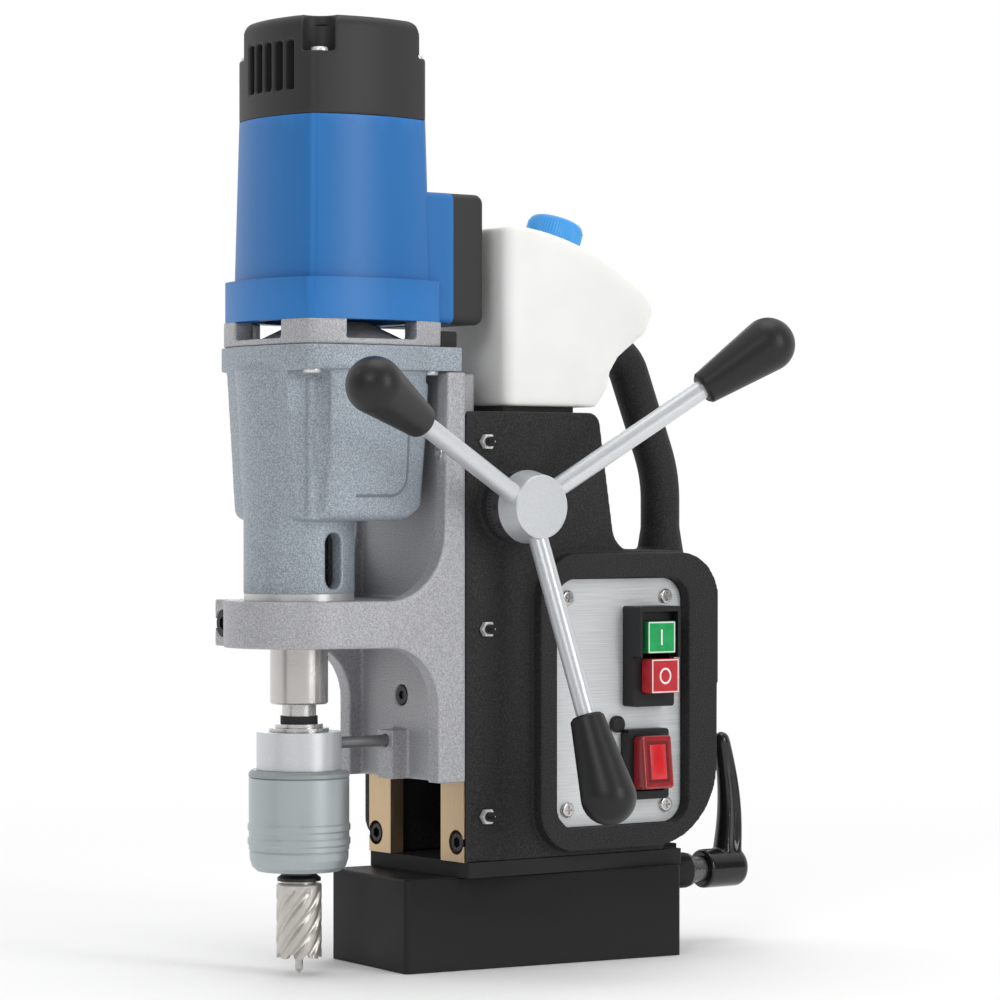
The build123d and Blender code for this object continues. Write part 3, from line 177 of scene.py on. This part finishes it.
class Finish:
    """A Principled material whose colour, roughness and bump come from textures in the part's frame."""

    def __init__(self, name):
        self.material = bpy.data.materials.new(name)
        self.material.use_nodes = True
        self.tree = self.material.node_tree
        self.shader = self.tree.nodes["Principled BSDF"]
        self.place = self.tree.nodes.new("ShaderNodeTexCoord").outputs["Object"]
        self.height = None

    def set(self, base=None, roughness=None, metallic=None, coat=None, specular=None):
        values = {"Base Color": base, "Roughness": roughness, "Metallic": metallic, "Coat Weight": coat,
                  "Specular IOR Level": specular}
        for socket, value in values.items():
            if value is not None:
                self.shader.inputs[socket].default_value = (*value, 1.0) if socket == "Base Color" else value
        return self

    def stretched(self, scale):
        mapping = self.tree.nodes.new("ShaderNodeMapping")
        mapping.inputs["Scale"].default_value = scale
        self.tree.links.new(self.place, mapping.inputs["Vector"])
        return mapping.outputs["Vector"]

    def noise(self, size, detail=2.0, stretch=(1, 1, 1)):
        """Noise whose features are about size metres across."""
        node = self.tree.nodes.new("ShaderNodeTexNoise")
        node.inputs["Scale"].default_value = 1.0 / size
        node.inputs["Detail"].default_value = detail
        self.tree.links.new(self.stretched(stretch), node.inputs["Vector"])
        return node.outputs["Fac"]

    def ramp(self, source, stops):
        node = self.tree.nodes.new("ShaderNodeValToRGB")
        elements = node.color_ramp.elements
        while len(elements) < len(stops):
            elements.new(0.5)
        for element, (position, colour) in zip(elements, stops):
            element.position = position
            element.color = (*colour, 1.0)
        self.tree.links.new(source, node.inputs["Fac"])
        return node.outputs["Color"]

    def span(self, source, low, high, start=0.3, end=0.7):
        node = self.tree.nodes.new("ShaderNodeMapRange")
        node.inputs["From Min"].default_value = start
        node.inputs["From Max"].default_value = end
        node.inputs["To Min"].default_value = low
        node.inputs["To Max"].default_value = high
        self.tree.links.new(source, node.inputs["Value"])
        return node.outputs["Result"]

    def mix(self, first, second, factor):
        node = self.tree.nodes.new("ShaderNodeMix")
        node.data_type = "RGBA"
        self.tree.links.new(factor, node.inputs["Factor"])
        for source, socket in ((first, node.inputs["A"]), (second, node.inputs["B"])):
            if isinstance(source, tuple):
                socket.default_value = (*source, 1.0)
            else:
                self.tree.links.new(source, socket)
        return node.outputs["Result"]

    def colour(self, source):
        self.tree.links.new(source, self.shader.inputs["Base Color"])
        return self

    def rough(self, source):
        self.tree.links.new(source, self.shader.inputs["Roughness"])
        return self

    def bump(self, source, depth, strength=1.0):
        """Adds relief of about depth metres."""
        node = self.tree.nodes.new("ShaderNodeBump")
        node.inputs["Distance"].default_value = depth
        node.inputs["Strength"].default_value = strength
        self.tree.links.new(source, node.inputs["Height"])
        if self.height is not None:
            self.tree.links.new(self.height, node.inputs["Normal"])
        self.height = node.outputs["Normal"]
        self.tree.links.new(self.height, self.shader.inputs["Normal"])
        return self

    def wear_and_edge_highlight(self, source, colour, amount):
        """Lets a lighter colour show on convex edges, where the surface is pointed: partly edge wear, partly
        painted highlight along the edges.
        """
        geometry = self.tree.nodes.new("ShaderNodeNewGeometry")
        edge = self.span(geometry.outputs["Pointiness"], 0.0, amount, 0.52, 0.6)
        return self.mix(source, colour, edge)


def hammered(name, dark, middle, light, grain):
    """Cast metal under hammered paint: a speckle of lighter and darker dimples."""
    finish = Finish(name).set(roughness=0.42, metallic=0.2, specular=0.4)
    speckle = finish.noise(grain, 1.0)
    tint = finish.ramp(speckle, [(0.34, dark), (0.5, middle), (0.68, light)])
    # Convex edges lighten towards the light speckle colour: partly wear, partly painted edge highlight.
    finish.colour(finish.wear_and_edge_highlight(tint, light, 0.4))
    finish.rough(finish.span(speckle, 0.5, 0.34))
    return finish.bump(speckle, 0.00035, 0.6).material


def black_casting():
    finish = Finish("black_casting").set(roughness=0.6, specular=0.22)
    speckle = finish.noise(0.0008, 1.5)
    patches = finish.noise(0.03, 2.0)
    tint = finish.ramp(speckle, [(0.36, (0.013, 0.013, 0.014)), (0.52, (0.021, 0.021, 0.022)),
                                 (0.72, (0.036, 0.035, 0.035))])
    tint = finish.mix(tint, (0.026, 0.025, 0.025), finish.span(patches, 0.0, 0.35))
    # Convex edges lighten to a paler grey: partly wear, partly painted edge highlight.
    finish.colour(finish.wear_and_edge_highlight(tint, (0.05, 0.049, 0.048), 0.5))
    finish.rough(finish.span(speckle, 0.72, 0.55))
    return finish.bump(speckle, 0.0002, 0.5).material


def plastic(name, base, roughness, grain=0.0006, depth=0.00004, shade=0.85, specular=0.3, coat=0.0):
    """Moulded plastic with a fine spark-eroded texture and slow, faint changes of tone."""
    finish = Finish(name).set(specular=specular, coat=coat)
    texture = finish.noise(grain, 2.0)
    slow = finish.noise(0.05, 2.0)
    dark = tuple(shade * part for part in base)
    tint = finish.mix(base, dark, finish.span(slow, 0.0, 0.6))
    # Convex edges lighten to 1.5 times the base colour: partly wear, partly painted edge highlight.
    finish.colour(finish.wear_and_edge_highlight(tint, tuple(min(1.0, 1.5 * part) for part in base), 0.35))
    finish.rough(finish.span(texture, roughness + 0.05, roughness - 0.05))
    return finish.bump(texture, depth, 0.5).material


def metal(name, base, roughness, along=(1, 1, 1), streak=0.0012, depth=0.00002, metallic=1.0, contrast=0.14):
    """Machined metal: fine tool marks, stretched along the direction of the cut."""
    finish = Finish(name).set(metallic=metallic)
    marks = finish.noise(streak, 3.0, along)
    dark = tuple((1 - contrast) * part for part in base)
    finish.colour(finish.mix(base, dark, finish.span(marks, 0.0, 1.0)))
    finish.rough(finish.span(marks, roughness + 0.06, roughness - 0.06))
    return finish.bump(marks, depth, 0.35).material


def satin_paint(name, base, roughness):
    finish = Finish(name).set(specular=0.07)
    peel = finish.noise(0.0016, 2.0)
    slow = finish.noise(0.035, 3.0)
    tint = finish.mix(base, tuple(1.3 * part for part in base), finish.span(slow, 0.0, 0.5))
    # Convex edges lighten to a dark grey: partly wear, partly painted edge highlight.
    finish.colour(finish.wear_and_edge_highlight(tint, (0.05, 0.05, 0.05), 0.5))
    finish.rough(finish.span(slow, roughness + 0.06, roughness - 0.06))
    return finish.bump(peel, 0.00005, 0.35).material


def blow_moulded():
    """Milky polyethylene: a little light passes through its wall."""
    finish = Finish("tank_plastic").set(base=(0.86, 0.86, 0.83), roughness=0.5, specular=0.35)
    finish.shader.inputs["Subsurface Weight"].default_value = 0.35
    finish.shader.inputs["Subsurface Radius"].default_value = (0.006, 0.006, 0.005)
    finish.shader.inputs["Subsurface Scale"].default_value = 1.0
    slow = finish.noise(0.03, 2.0)
    finish.colour(finish.mix((0.87, 0.87, 0.84), (0.80, 0.80, 0.77), finish.span(slow, 0.0, 0.6)))
    return finish.bump(finish.noise(0.004, 2.0), 0.00004, 0.4).material


def translucent(name, base, roughness, coat=0.4):
    """Coloured lens plastic, glossy and slightly see-through."""
    finish = Finish(name).set(roughness=roughness, coat=coat)
    slow = finish.noise(0.006, 2.0)
    dark = tuple(0.7 * part for part in base)
    finish.colour(finish.mix(base, dark, finish.span(slow, 0.0, 0.7)))
    finish.shader.inputs["Subsurface Weight"].default_value = 0.4
    finish.shader.inputs["Subsurface Radius"].default_value = (0.003, 0.001, 0.001)
    return finish.bump(finish.noise(0.0008, 1.0), 0.00001, 0.3).material


def paint_nodes():
    """Gives every carried-over CAD node its finish, by the piece or by its material slot."""
    round_z = (1, 1, 60)
    by_slot = {
        "black_steel": satin_paint("black_steel", (0.006, 0.006, 0.007), 0.45),
        "black_casting": black_casting(),
        "resin": plastic("resin", (0.05, 0.045, 0.04), 0.45),
        "steel": metal("steel", (0.66, 0.65, 0.64), 0.25, metallic=0.8),
        "brass": metal("brass", (0.66, 0.50, 0.32), 0.45, (1, 1, 0.08), 0.0008, 0.00004),
        "dark_steel": metal("dark_steel", (0.045, 0.045, 0.05), 0.38, metallic=0.8),
        "rubber": plastic("rubber", (0.02, 0.02, 0.02), 0.75),
        "white_plastic": blow_moulded(),
        "light_blue_plastic": plastic("light_blue_plastic", (0.07, 0.37, 0.84), 0.3),
        "brushed_panel": metal("brushed_panel", (0.70, 0.72, 0.73), 0.42, (1, 0.02, 1), 0.0006, 0.00003,
                               metallic=0.3, contrast=0.2),
        "black_plastic": plastic("black_plastic", (0.012, 0.012, 0.013), 0.4),
        "green_plastic": translucent("green_plastic", (0.02, 0.42, 0.12), 0.25),
        "red_plastic": translucent("red_plastic", (0.60, 0.035, 0.045), 0.25),
        "silver_casting": hammered("silver_casting", (0.31, 0.31, 0.33), (0.385, 0.385, 0.405),
                                   (0.48, 0.48, 0.50), 0.00075),
        "blue_grey_casting": hammered("blue_grey_casting", (0.22, 0.255, 0.295), (0.30, 0.34, 0.385),
                                      (0.41, 0.455, 0.50), 0.00075),
        "blue_plastic": plastic("blue_plastic", (0.020, 0.150, 0.42), 0.38, 0.0005, 0.00002, 0.92),
        "laminations": metal("laminations", (0.25, 0.25, 0.26), 0.5, round_z, 0.02, 0.0001),
        "satin_aluminium": metal("satin_aluminium", (0.68, 0.70, 0.72), 0.36, (1, 1, 1), 0.0006, 0.00001,
                                 metallic=0.55),
    }
    turned = metal("turned_steel", (0.60, 0.58, 0.56), 0.24, (1, 1, 1), 0.02, 0.0, metallic=0.85, contrast=0.03)
    sleeve = metal("sleeve_finish", (0.42, 0.465, 0.48), 0.36, (1, 1, 1), 0.02, 0.0, metallic=0.5, contrast=0.03)
    chuck = metal("chuck_finish", (0.31, 0.335, 0.34), 0.42, (1, 1, 1), 0.02, 0.0, metallic=0.3, contrast=0.03)
    zinc = metal("bright_zinc", (0.80, 0.80, 0.79), 0.35, metallic=0.5)
    special = {
        "spindle": turned,
        "tool_chuck": chuck,
        "chuck_sleeve": sleeve,
        "gib_lock_nuts": zinc,
        "casing_screws": zinc,
        "clamp_stud": metal("stud_steel", (0.16, 0.16, 0.16), 0.3, metallic=0.7),
        "scale_dial": metal("dial_grey", (0.085, 0.085, 0.09), 0.4, metallic=0.5),
        "gib_set_screws": plastic("blackened_screw", (0.006, 0.006, 0.007), 0.4),
        "coolant_rod": metal("rod_steel", (0.22, 0.22, 0.23), 0.4, metallic=0.5),
        "magnet_rocker": translucent("rocker_cover", (0.36, 0.028, 0.034), 0.22),
        "capstan_grips": plastic("grip_plastic", (0.016, 0.016, 0.017), 0.4, 0.0004, 0.00002),
        "motor_cap": plastic("cap_plastic", (0.030, 0.029, 0.030), 0.5, 0.0007, 0.00006),
        "electronics_cover": plastic("cover_plastic", (0.026, 0.026, 0.027), 0.5, 0.0007, 0.00006),
    }
    slots = {row["node"]: row["material_slot"] for row in frame["record"]["subparts"]}
    for name, node in nodes.items():
        material = special.get(name, by_slot[slots[name]])
        node.data.materials.clear()
        node.data.materials.append(material)
    return by_slot


# ---------------------------------------------------------------- softened castings


def soften(name, voxel, rounds):
    """Rounds the edges of a casting or moulding as its mould and its paint do."""
    node = nodes[name]
    remesh = node.modifiers.new("cast", "REMESH")
    remesh.mode = "VOXEL"
    remesh.voxel_size = voxel
    remesh.use_smooth_shade = True
    smooth = node.modifiers.new("draft", "SMOOTH")
    smooth.factor = 0.5
    smooth.iterations = rounds


def soften_castings():
    fine = 0.0008
    soften("column_housing", fine, 5)
    soften("carriage", fine, 4)
    soften("gearbox_housing", fine, 5)
    soften("bearing_plate", fine, 3)
    soften("coolant_tank", 0.0012, 16)
    soften("motor_cap", 0.0007, 6)


# ---------------------------------------------------------------- detailed pieces


def add_piece(name, mesh, material, body):
    """Puts a finished mesh in the scene as a piece of the part."""
    piece = bpy.data.objects.new(name, mesh)
    bpy.context.scene.collection.objects.link(piece)
    mesh.materials.clear()
    mesh.materials.append(material)
    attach(piece, body)
    return piece


def mesh_of(name, bm, smooth=True):
    bmesh.ops.recalc_face_normals(bm, faces=bm.faces)
    mesh = bpy.data.meshes.new(name)
    bm.to_mesh(mesh)
    bm.free()
    for polygon in mesh.polygons:
        polygon.use_smooth = smooth
    return mesh


def grid_faces(bm, rows, closed=True):
    """Quads between rows of vertices; each row is a loop when closed."""
    for lower, upper in zip(rows, rows[1:]):
        count = len(lower)
        for index in range(count if closed else count - 1):
            after = (index + 1) % count
            bm.faces.new((lower[index], lower[after], upper[after], upper[index]))


def circle_row(bm, place, radius, height, segments):
    """Loop of vertices about a local Z axis; place puts a local point in the part's frame."""
    row = []
    for index in range(segments):
        angle = 2 * math.pi * index / segments
        row.append(bm.verts.new(place @ Vector((radius * math.cos(angle), radius * math.sin(angle), height))))
    return row


def lathe(bm, profile, place, segments):
    """Turns (radius, height) points about a local Z axis and closes both ends."""
    rows = [circle_row(bm, place, radius, height, segments) for radius, height in profile]
    grid_faces(bm, rows)
    bm.faces.new(reversed(rows[0]))
    bm.faces.new(rows[-1])


def frame_at(origin, direction, side=(1, 0, 0)):
    """Matrix with local Z along direction and local X as near to side as it can be; origin in millimetres."""
    up = Vector(direction).normalized()
    across = Vector(side)
    across = (across - up * across.dot(up)).normalized()
    matrix = Matrix((across, up.cross(across), up)).transposed().to_4x4()
    return Matrix.Translation(Vector(origin) * MM) @ matrix @ Matrix.Scale(MM, 4)


def make_cutter(finish):
    """Hollow cutter with helical flutes and a toothed rim."""
    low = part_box("annular_cutter")[0]
    outer = 11.4
    inner = 8.2
    shank = 8.5
    bottom = low.z / MM
    shoulder = 45.8
    flutes = 8
    segments = 28 * flutes
    lead = -0.070
    levels = 48
    place = frame_at((0, SPINDLE_Y, 0), (0, 0, 1))
    bm = bmesh.new()

    def phase(angle, z):
        return ((angle + lead * (z - bottom)) * flutes / (2 * math.pi)) % 1.0

    def reach(angle, z):
        """The land runs at full radius; the flute behind it is a rounded hollow that ends below the shoulder."""
        share = phase(angle, z)
        if share < 0.5:
            return outer
        hollow = math.sin(math.pi * (share - 0.5) / 0.5) ** 0.8
        run_out = min(1.0, max(0.0, (shoulder - 1.5 - z) / 3.5))
        return outer - 1.3 * hollow * run_out

    def tooth(angle):
        """Height of the cutting rim: each tooth rises towards its flute and drops sharply behind it."""
        share = phase(angle, bottom)
        if share < 0.5:
            return 0.5 * (0.5 - share)
        return 2.4 * math.sin(math.pi * (share - 0.5) / 0.5) ** 0.7

    rows = []
    for level in range(levels + 1):
        share = level / levels
        row = []
        for index in range(segments):
            angle = 2 * math.pi * index / segments
            z = bottom + tooth(angle) * (1 - share) ** 3 + (shoulder - bottom) * share
            radius = reach(angle, z) - (0.5 if level == levels else 0.0)
            row.append(bm.verts.new(place @ Vector((radius * math.cos(angle), radius * math.sin(angle), z))))
        rows.append(row)
    rows += [circle_row(bm, place, shank, z, segments) for z in (shoulder, 84.0)]
    bore = []
    for z in (38.0, bottom + 6.0, None):
        row = []
        for index in range(segments):
            angle = 2 * math.pi * index / segments
            level = bottom + tooth(angle) + 0.4 if z is None else z
            row.append(bm.verts.new(place @ Vector((inner * math.cos(angle), inner * math.sin(angle), level))))
        bore.append(row)
    grid_faces(bm, rows)
    grid_faces(bm, bore)
    grid_faces(bm, [bore[-1], rows[0]])
    bm.faces.new(rows[-1])
    bm.faces.new(bore[0])
    mesh = mesh_of("cutter_body", bm)
    piece = add_piece("cutter_body", mesh, finish, "spindle")
    mesh.set_sharp_from_angle(angle=math.radians(28))
    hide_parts("annular_cutter")


def make_tank_cap(finish):
    """Screw cap with fine grip ribs, on the tilted neck of the tank."""
    tilt = math.radians(19)
    axis = Vector((0, math.sin(tilt), math.cos(tilt)))
    place = frame_at((0, 52.0, 366.5), axis)
    base = 6.2
    top = 19.5
    outline = [(12.7, base), (14.6, base), (14.9, base + 0.5), (14.9, base + 1.4), (14.55, base + 1.9)]
    outline += [(14.55, base + 2.5), (14.5, top - 3.2)]
    outline += [(14.4 - 2.4 * (1 - math.cos(math.radians(step))), top - 2.4 + 2.4 * math.sin(math.radians(step)))
                for step in range(0, 91, 15)]
    outline += [(9.0, top), (8.6, top - 0.5), (0.4, top - 0.5)]
    inside = [(0.4, 14.0), (12.7, 14.0)]
    ribs = 60

    def ripple(index, height):
        return 0.45 if index % 4 in (1, 2) and base + 2.2 < height < top - 2.6 else 0.0

    bm = bmesh.new()
    segments = 4 * ribs
    rows = []
    for radius, height in outline + inside:
        row = []
        for index in range(segments):
            angle = 2 * math.pi * index / segments
            reach = radius + ripple(index, height)
            row.append(bm.verts.new(place @ Vector((reach * math.cos(angle), reach * math.sin(angle), height))))
        rows.append(row)
    grid_faces(bm, rows)
    grid_faces(bm, [rows[-1], rows[0]])
    mesh = mesh_of("ribbed_cap", bm)
    piece = add_piece("ribbed_cap", mesh, finish, "tank_cap")
    mesh.set_sharp_from_angle(angle=math.radians(35))
    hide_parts("tank_cap")


def make_lever(finish):
    """Clamp lever: a hub on its stud and a curved arm with a hollow along each side."""
    low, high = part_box("clamp_lever")
    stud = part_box("clamp_stud")
    centre_x = (stud[0].x + stud[1].x) / 2 / MM
    centre_z = (stud[0].z + stud[1].z) / 2 / MM
    front = low.y / MM
    bm = bmesh.new()
    place = frame_at((centre_x, front, centre_z), (0, 1, 0))
    length = high.y / MM - front
    outline = [(9.6, 0), (10.5, 0.9), (10.5, length - 3.4), (9.8, length - 1.4), (8.4, length - 0.4),
               (6.5, length)]
    lathe(bm, outline, place, 64)

    def bend(share):
        """The arm bows outwards and leans back over its hub."""
        return 164.4 + 3.4 * math.sin(math.pi * share) - 2.6 * share ** 2

    rows = []
    levels = 40
    around_count = 40
    reach = (high.z / MM - centre_z) - 4.4
    for level in range(levels + 1):
        share = level / levels
        z = centre_z + reach * share
        y = bend(share)
        half_x = 9.0 - 4.4 * share
        half_y = 8.6 - 3.9 * share ** 0.8
        hollow = 0.42 * min(1.0, 5 * share, 4 * (1 - share))
        row = []
        for index in range(around_count):
            angle = 2 * math.pi * index / around_count
            pinch = 1 - hollow * math.exp(-(math.sin(angle) / 0.5) ** 2)
            row.append(bm.verts.new(Vector((centre_x + half_x * pinch * math.cos(angle),
                                            y + half_y * math.sin(angle), z)) * MM))
        rows.append(row)
    grid_faces(bm, rows)
    bm.faces.new(reversed(rows[0]))
    bm.faces.new(rows[-1])
    ball = Matrix.Translation(Vector((centre_x, bend(1.0), centre_z + reach)) * MM)
    bmesh.ops.create_uvsphere(bm, u_segments=32, v_segments=16, radius=4.4 * MM, matrix=ball)
    mesh = mesh_of("lever_body", bm)
    piece = add_piece("lever_body", mesh, finish, "clamp_lever")
    remesh = piece.modifiers.new("moulded", "REMESH")
    remesh.mode = "VOXEL"
    remesh.voxel_size = 0.0006
    remesh.use_smooth_shade = True
    smooth = piece.modifiers.new("rounded", "SMOOTH")
    smooth.factor = 0.5
    smooth.iterations = 6
    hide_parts("clamp_lever")


def box_into(bm, place, x, y, z):
    """Closed block between the local values of each pair, in millimetres."""
    corners = [place @ Vector((a, b, c)) for c in z for b in y for a in x]
    verts = [bm.verts.new(corner) for corner in corners]
    for face in ((0, 1, 3, 2), (4, 6, 7, 5), (0, 4, 5, 1), (2, 3, 7, 6), (0, 2, 6, 4), (1, 5, 7, 3)):
        bm.faces.new([verts[index] for index in face])


def border_into(bm, place, half_x, half_y, width, z):
    """Rectangular frame of four bars in a local plane."""
    box_into(bm, place, (-half_x, half_x), (half_y - width, half_y), z)
    box_into(bm, place, (-half_x, half_x), (-half_y, width - half_y), z)
    box_into(bm, place, (half_x - width, half_x), (width - half_y, half_y - width), z)
    box_into(bm, place, (-half_x, width - half_x), (width - half_y, half_y - width), z)


def face_of(node):
    """Centre of a button's outer face, and its half sizes along Y and Z, in millimetres."""
    low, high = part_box(node)
    centre = (high.x / MM, (low.y + high.y) / 2 / MM, (low.z + high.z) / 2 / MM)
    return centre, (high.y - low.y) / 2 / MM, (high.z - low.z) / 2 / MM


def make_button_marks(white):
    """A bar on the start button, a ring on the stop button, and a pale edge round both."""
    for node, name in (("start_button", "start_mark"), ("stop_button", "stop_mark")):
        centre, half_y, half_z = face_of(node)
        place = frame_at(centre, (1, 0, 0), (0, 1, 0))
        bm = bmesh.new()
        border_into(bm, place, half_y - 0.35, half_z - 0.35, 0.55, (-0.1, 0.12))
        if node == "start_button":
            box_into(bm, place, (-0.5, 0.5), (-4.0, 4.0), (-0.1, 0.12))
        else:
            tall = place @ Matrix.Diagonal((1, 1.12, 1, 1))
            rings = [circle_row(bm, tall, radius, height, 48)
                     for radius, height in ((2.9, 0.12), (3.8, 0.12), (3.8, -0.1), (2.9, -0.1))]
            grid_faces(bm, rings + [rings[0]])
        add_piece(name, mesh_of(name, bm, False), white, node)


def make_rocker_window(bright, dark):
    """The rocker's lit window and the dark line round it, on its tilted face."""
    tilt = Matrix.Rotation(math.radians(-6), 4, "Y")
    pivot = Vector((49.0, 0.0, 102.2)) * MM
    face = frame_at((10.5, 79.3, -0.85), (1, 0, 0), (0, 1, 0))
    place = Matrix.Translation(pivot) @ tilt @ face
    bm = bmesh.new()
    border_into(bm, place, 6.8, 10.6, 1.3, (-0.2, 0.08))
    add_piece("rocker_border", mesh_of("rocker_border", bm, False), dark, "magnet_rocker")
    bm = bmesh.new()
    box_into(bm, place, (-5.2, 5.2), (-9.0, 9.0), (-0.3, 0.25))
    window = mesh_of("rocker_window", bm, True)
    piece = add_piece("rocker_window", window, bright, "magnet_rocker")
    bevel = piece.modifiers.new("soft_edge", "BEVEL")
    bevel.width = 0.0004
    bevel.segments = 3


def make_dial_marks(ink):
    """Black graduations at the rear rim of the feed dial, and numbers in front of them."""
    low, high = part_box("scale_dial")
    centre = (high.x / MM, (low.y + high.y) / 2 / MM, (low.z + high.z) / 2 / MM)
    radius = (high.y - low.y) / 2 / MM
    thickness = (high.x - low.x) / MM
    place = frame_at(centre, (1, 0, 0), (0, 1, 0))
    bm = bmesh.new()
    marks = 60
    for mark in range(marks):
        turn = Matrix.Rotation(2 * math.pi * mark / marks, 4, "Z")
        length = 4.2 if mark % 5 == 0 else 2.6
        rear = 0.3 - thickness
        box_into(bm, place @ turn, (radius - 0.15, radius + 0.06), (-0.22, 0.22), (rear, rear + length))
    add_piece("dial_graduations", mesh_of("dial_graduations", bm, False), ink, "capstan")
    numbers = bmesh.new()
    for number in range(12):
        text = bpy.data.curves.new("number", "FONT")
        text.body = str(5 * number)
        text.size = 3.6
        text.extrude = 0.06
        text.align_x = "CENTER"
        text.align_y = "CENTER"
        label = bpy.data.objects.new("number", text)
        outline = bpy.data.meshes.new_from_object(label)
        turn = Matrix.Rotation(2 * math.pi * number / 12, 4, "Z")
        stand = Matrix(((0, 0, 1, radius), (1, 0, 0, 0), (0, 1, 0, -2.8), (0, 0, 0, 1)))
        outline.transform(place @ turn @ stand)
        numbers.from_mesh(outline)
        bpy.data.objects.remove(label)
    add_piece("dial_numbers", mesh_of("dial_numbers", numbers, False), ink, "capstan")


def bead(bm, points, radius, segments=10):
    """Round ridge along a line of points, in millimetres, closed at both ends."""
    rows = []
    for index, point in enumerate(points):
        before = points[max(index - 1, 0)]
        after = points[min(index + 1, len(points) - 1)]
        rows.append(circle_row(bm, frame_at(point, after - before), radius, 0, segments))
    grid_faces(bm, rows)
    bm.faces.new(reversed(rows[0]))
    bm.faces.new(rows[-1])


def add_strip(bm, rows):
    """Closed bar from four rows of points, capped at both ends."""
    rows = [[bm.verts.new(point) for point in row] for row in rows]
    count = len(rows)
    for index in range(count):
        row = rows[index]
        after = rows[(index + 1) % count]
        for step in range(len(row) - 1):
            bm.faces.new((row[step], row[step + 1], after[step + 1], after[step]))
    bm.faces.new([row[0] for row in rows])
    bm.faces.new([row[-1] for row in reversed(rows)])


def make_casing_line():
    """The moulded line on the gearbox's side, laid on the surface that rays from the +X side find; it is
    coloured darker than the casting as painted shade along the line.
    """
    casing = nodes["gearbox_housing"].data
    surface = BVHTree.FromPolygons([vertex.co for vertex in casing.vertices],
                                   [tuple(face.vertices) for face in casing.polygons])
    line = [(-97.0 + step, 240.5) for step in range(0, 21)]
    line += [(-76.3 + 11 * math.sin(math.radians(turn)), 251.5 - 11 * math.cos(math.radians(turn)))
             for turn in range(0, 91, 6)]
    line += [(-65.3, 252.0 + 2 * step) for step in range(0, 22)]
    points = []
    for y, z in line:
        hit = surface.ray_cast(Vector((90, y, z)) * MM, Vector((-1, 0, 0)))[0]
        if hit is not None:
            points.append(hit / MM - Vector((0.25, 0, 0)))
    bm = bmesh.new()
    bead(bm, points, 0.8)
    # The line's colour is darker than the casting around it: painted shade along the moulded line.
    painted_shade_line_finish = plastic("casing_line_painted_shade", (0.16, 0.185, 0.215), 0.5)
    add_piece("casing_line_painted_shade", mesh_of("casing_line_painted_shade", bm), painted_shade_line_finish, "carriage")


def add_turned(name, bm, finish, body):
    """Adds a turned piece whose corners stay crisp."""
    mesh = mesh_of(name, bm)
    mesh.set_sharp_from_angle(angle=math.radians(30))
    add_piece(name, mesh, finish, body)


def make_spindle_rings(finishes):
    """The machined collar at the foot of the gearbox's neck, and the bright neck of the chuck."""
    place = frame_at((0, SPINDLE_Y, 0), (0, 0, 1))
    bm = bmesh.new()
    rows = [circle_row(bm, place, radius, z, 120)
            for radius, z in ((27.0, 188.1), (27.7, 188.1), (27.7, 191.5), (27.0, 191.5))]
    grid_faces(bm, rows + [rows[0]])
    collar_steel = metal("collar_steel", (0.68, 0.67, 0.66), 0.35, metallic=0.6)
    add_turned("machined_collar", bm, collar_steel, "carriage")
    bm = bmesh.new()
    lathe(bm, [(8.4, 122.4), (8.56, 122.4), (8.56, 135.8), (8.4, 135.8)], place, 64)
    add_turned("chuck_neck", bm, finishes["steel"], "spindle")


def make_notch_walls():
    """Thin walls behind the four screw notches of the motor cap, where the notch meets the cap's hollow."""
    for quarter in range(4):
        outward = math.radians(48 + 90 * quarter)
        middle = Vector((42.5 * math.cos(outward), MOTOR_Y + 42.5 * math.sin(outward), 0))
        rows = []
        for radius, z in ((7.95, 460.8), (8.7, 460.8), (8.7, 474.0), (7.95, 474.0)):
            row = []
            for turn in range(-32, 33, 4):
                angle = outward + math.pi + math.radians(turn)
                row.append((middle + Vector((radius * math.cos(angle), radius * math.sin(angle), z))) * MM)
            rows.append(row)
        bm = bmesh.new()
        add_strip(bm, rows)
        name = "cap_notch_wall_%d" % quarter
        finish = nodes["motor_cap"].data.materials[0]
        add_piece(name, mesh_of(name, bm, False), finish, "carriage")


def make_sunk_screws(finishes):
    """Two sunk socket-screw shapes: a dark one in the carriage's back-wall hole, whose dark colour is painted
    shade of the deep hole, and a steel one in the carriage's cheek.
    """
    for name, origin, radius, length, finish, slot in (
            # The dark screw near the mouth of the back-wall hole paints the hole's shade.
            ("back_wall_painted_shade_screw", (0, -40.2, 138.5), 4.9, 1.5, finishes["dark_steel"], "dark_steel"),
            ("cheek_screw", (39, -46.0, 262), 3.4, 0.7, finishes["steel"], "steel")):
        bm = bmesh.new()
        socket = 0.45 * radius
        lathe(bm, [(0.8 * radius, -3.0), (radius, -3.0), (radius, length - 0.3), (radius - 0.3, length),
                   (socket, length), (socket, length - 1.2), (0.05, length - 1.2)],
              frame_at(origin, (0, -1, 0)), 48)
        add_turned(name, bm, finish, "carriage")


def make_details(finishes):
    white = plastic("white_print", (0.75, 0.75, 0.74), 0.4, 0.0005, 0.00001)
    make_cutter(metal("cutter_steel", (0.64, 0.61, 0.57), 0.34, (1, 1, 0.3), 0.0006, 0.000004, metallic=0.75))
    make_tank_cap(finishes["light_blue_plastic"])
    make_lever(plastic("lever_plastic", (0.014, 0.014, 0.015), 0.2, coat=0.3))
    make_button_marks(white)
    make_rocker_window(translucent("lit_red", (0.72, 0.012, 0.02), 0.25),
                       translucent("dark_red", (0.16, 0.012, 0.015), 0.3))
    make_dial_marks(plastic("black_ink", (0.004, 0.004, 0.004), 0.5))
    make_casing_line()
    make_spindle_rings(finishes)
    make_notch_walls()
    make_sunk_screws(finishes)


add_camera()
finishes = paint_nodes()
add_studio()
soften_castings()
make_details(finishes)
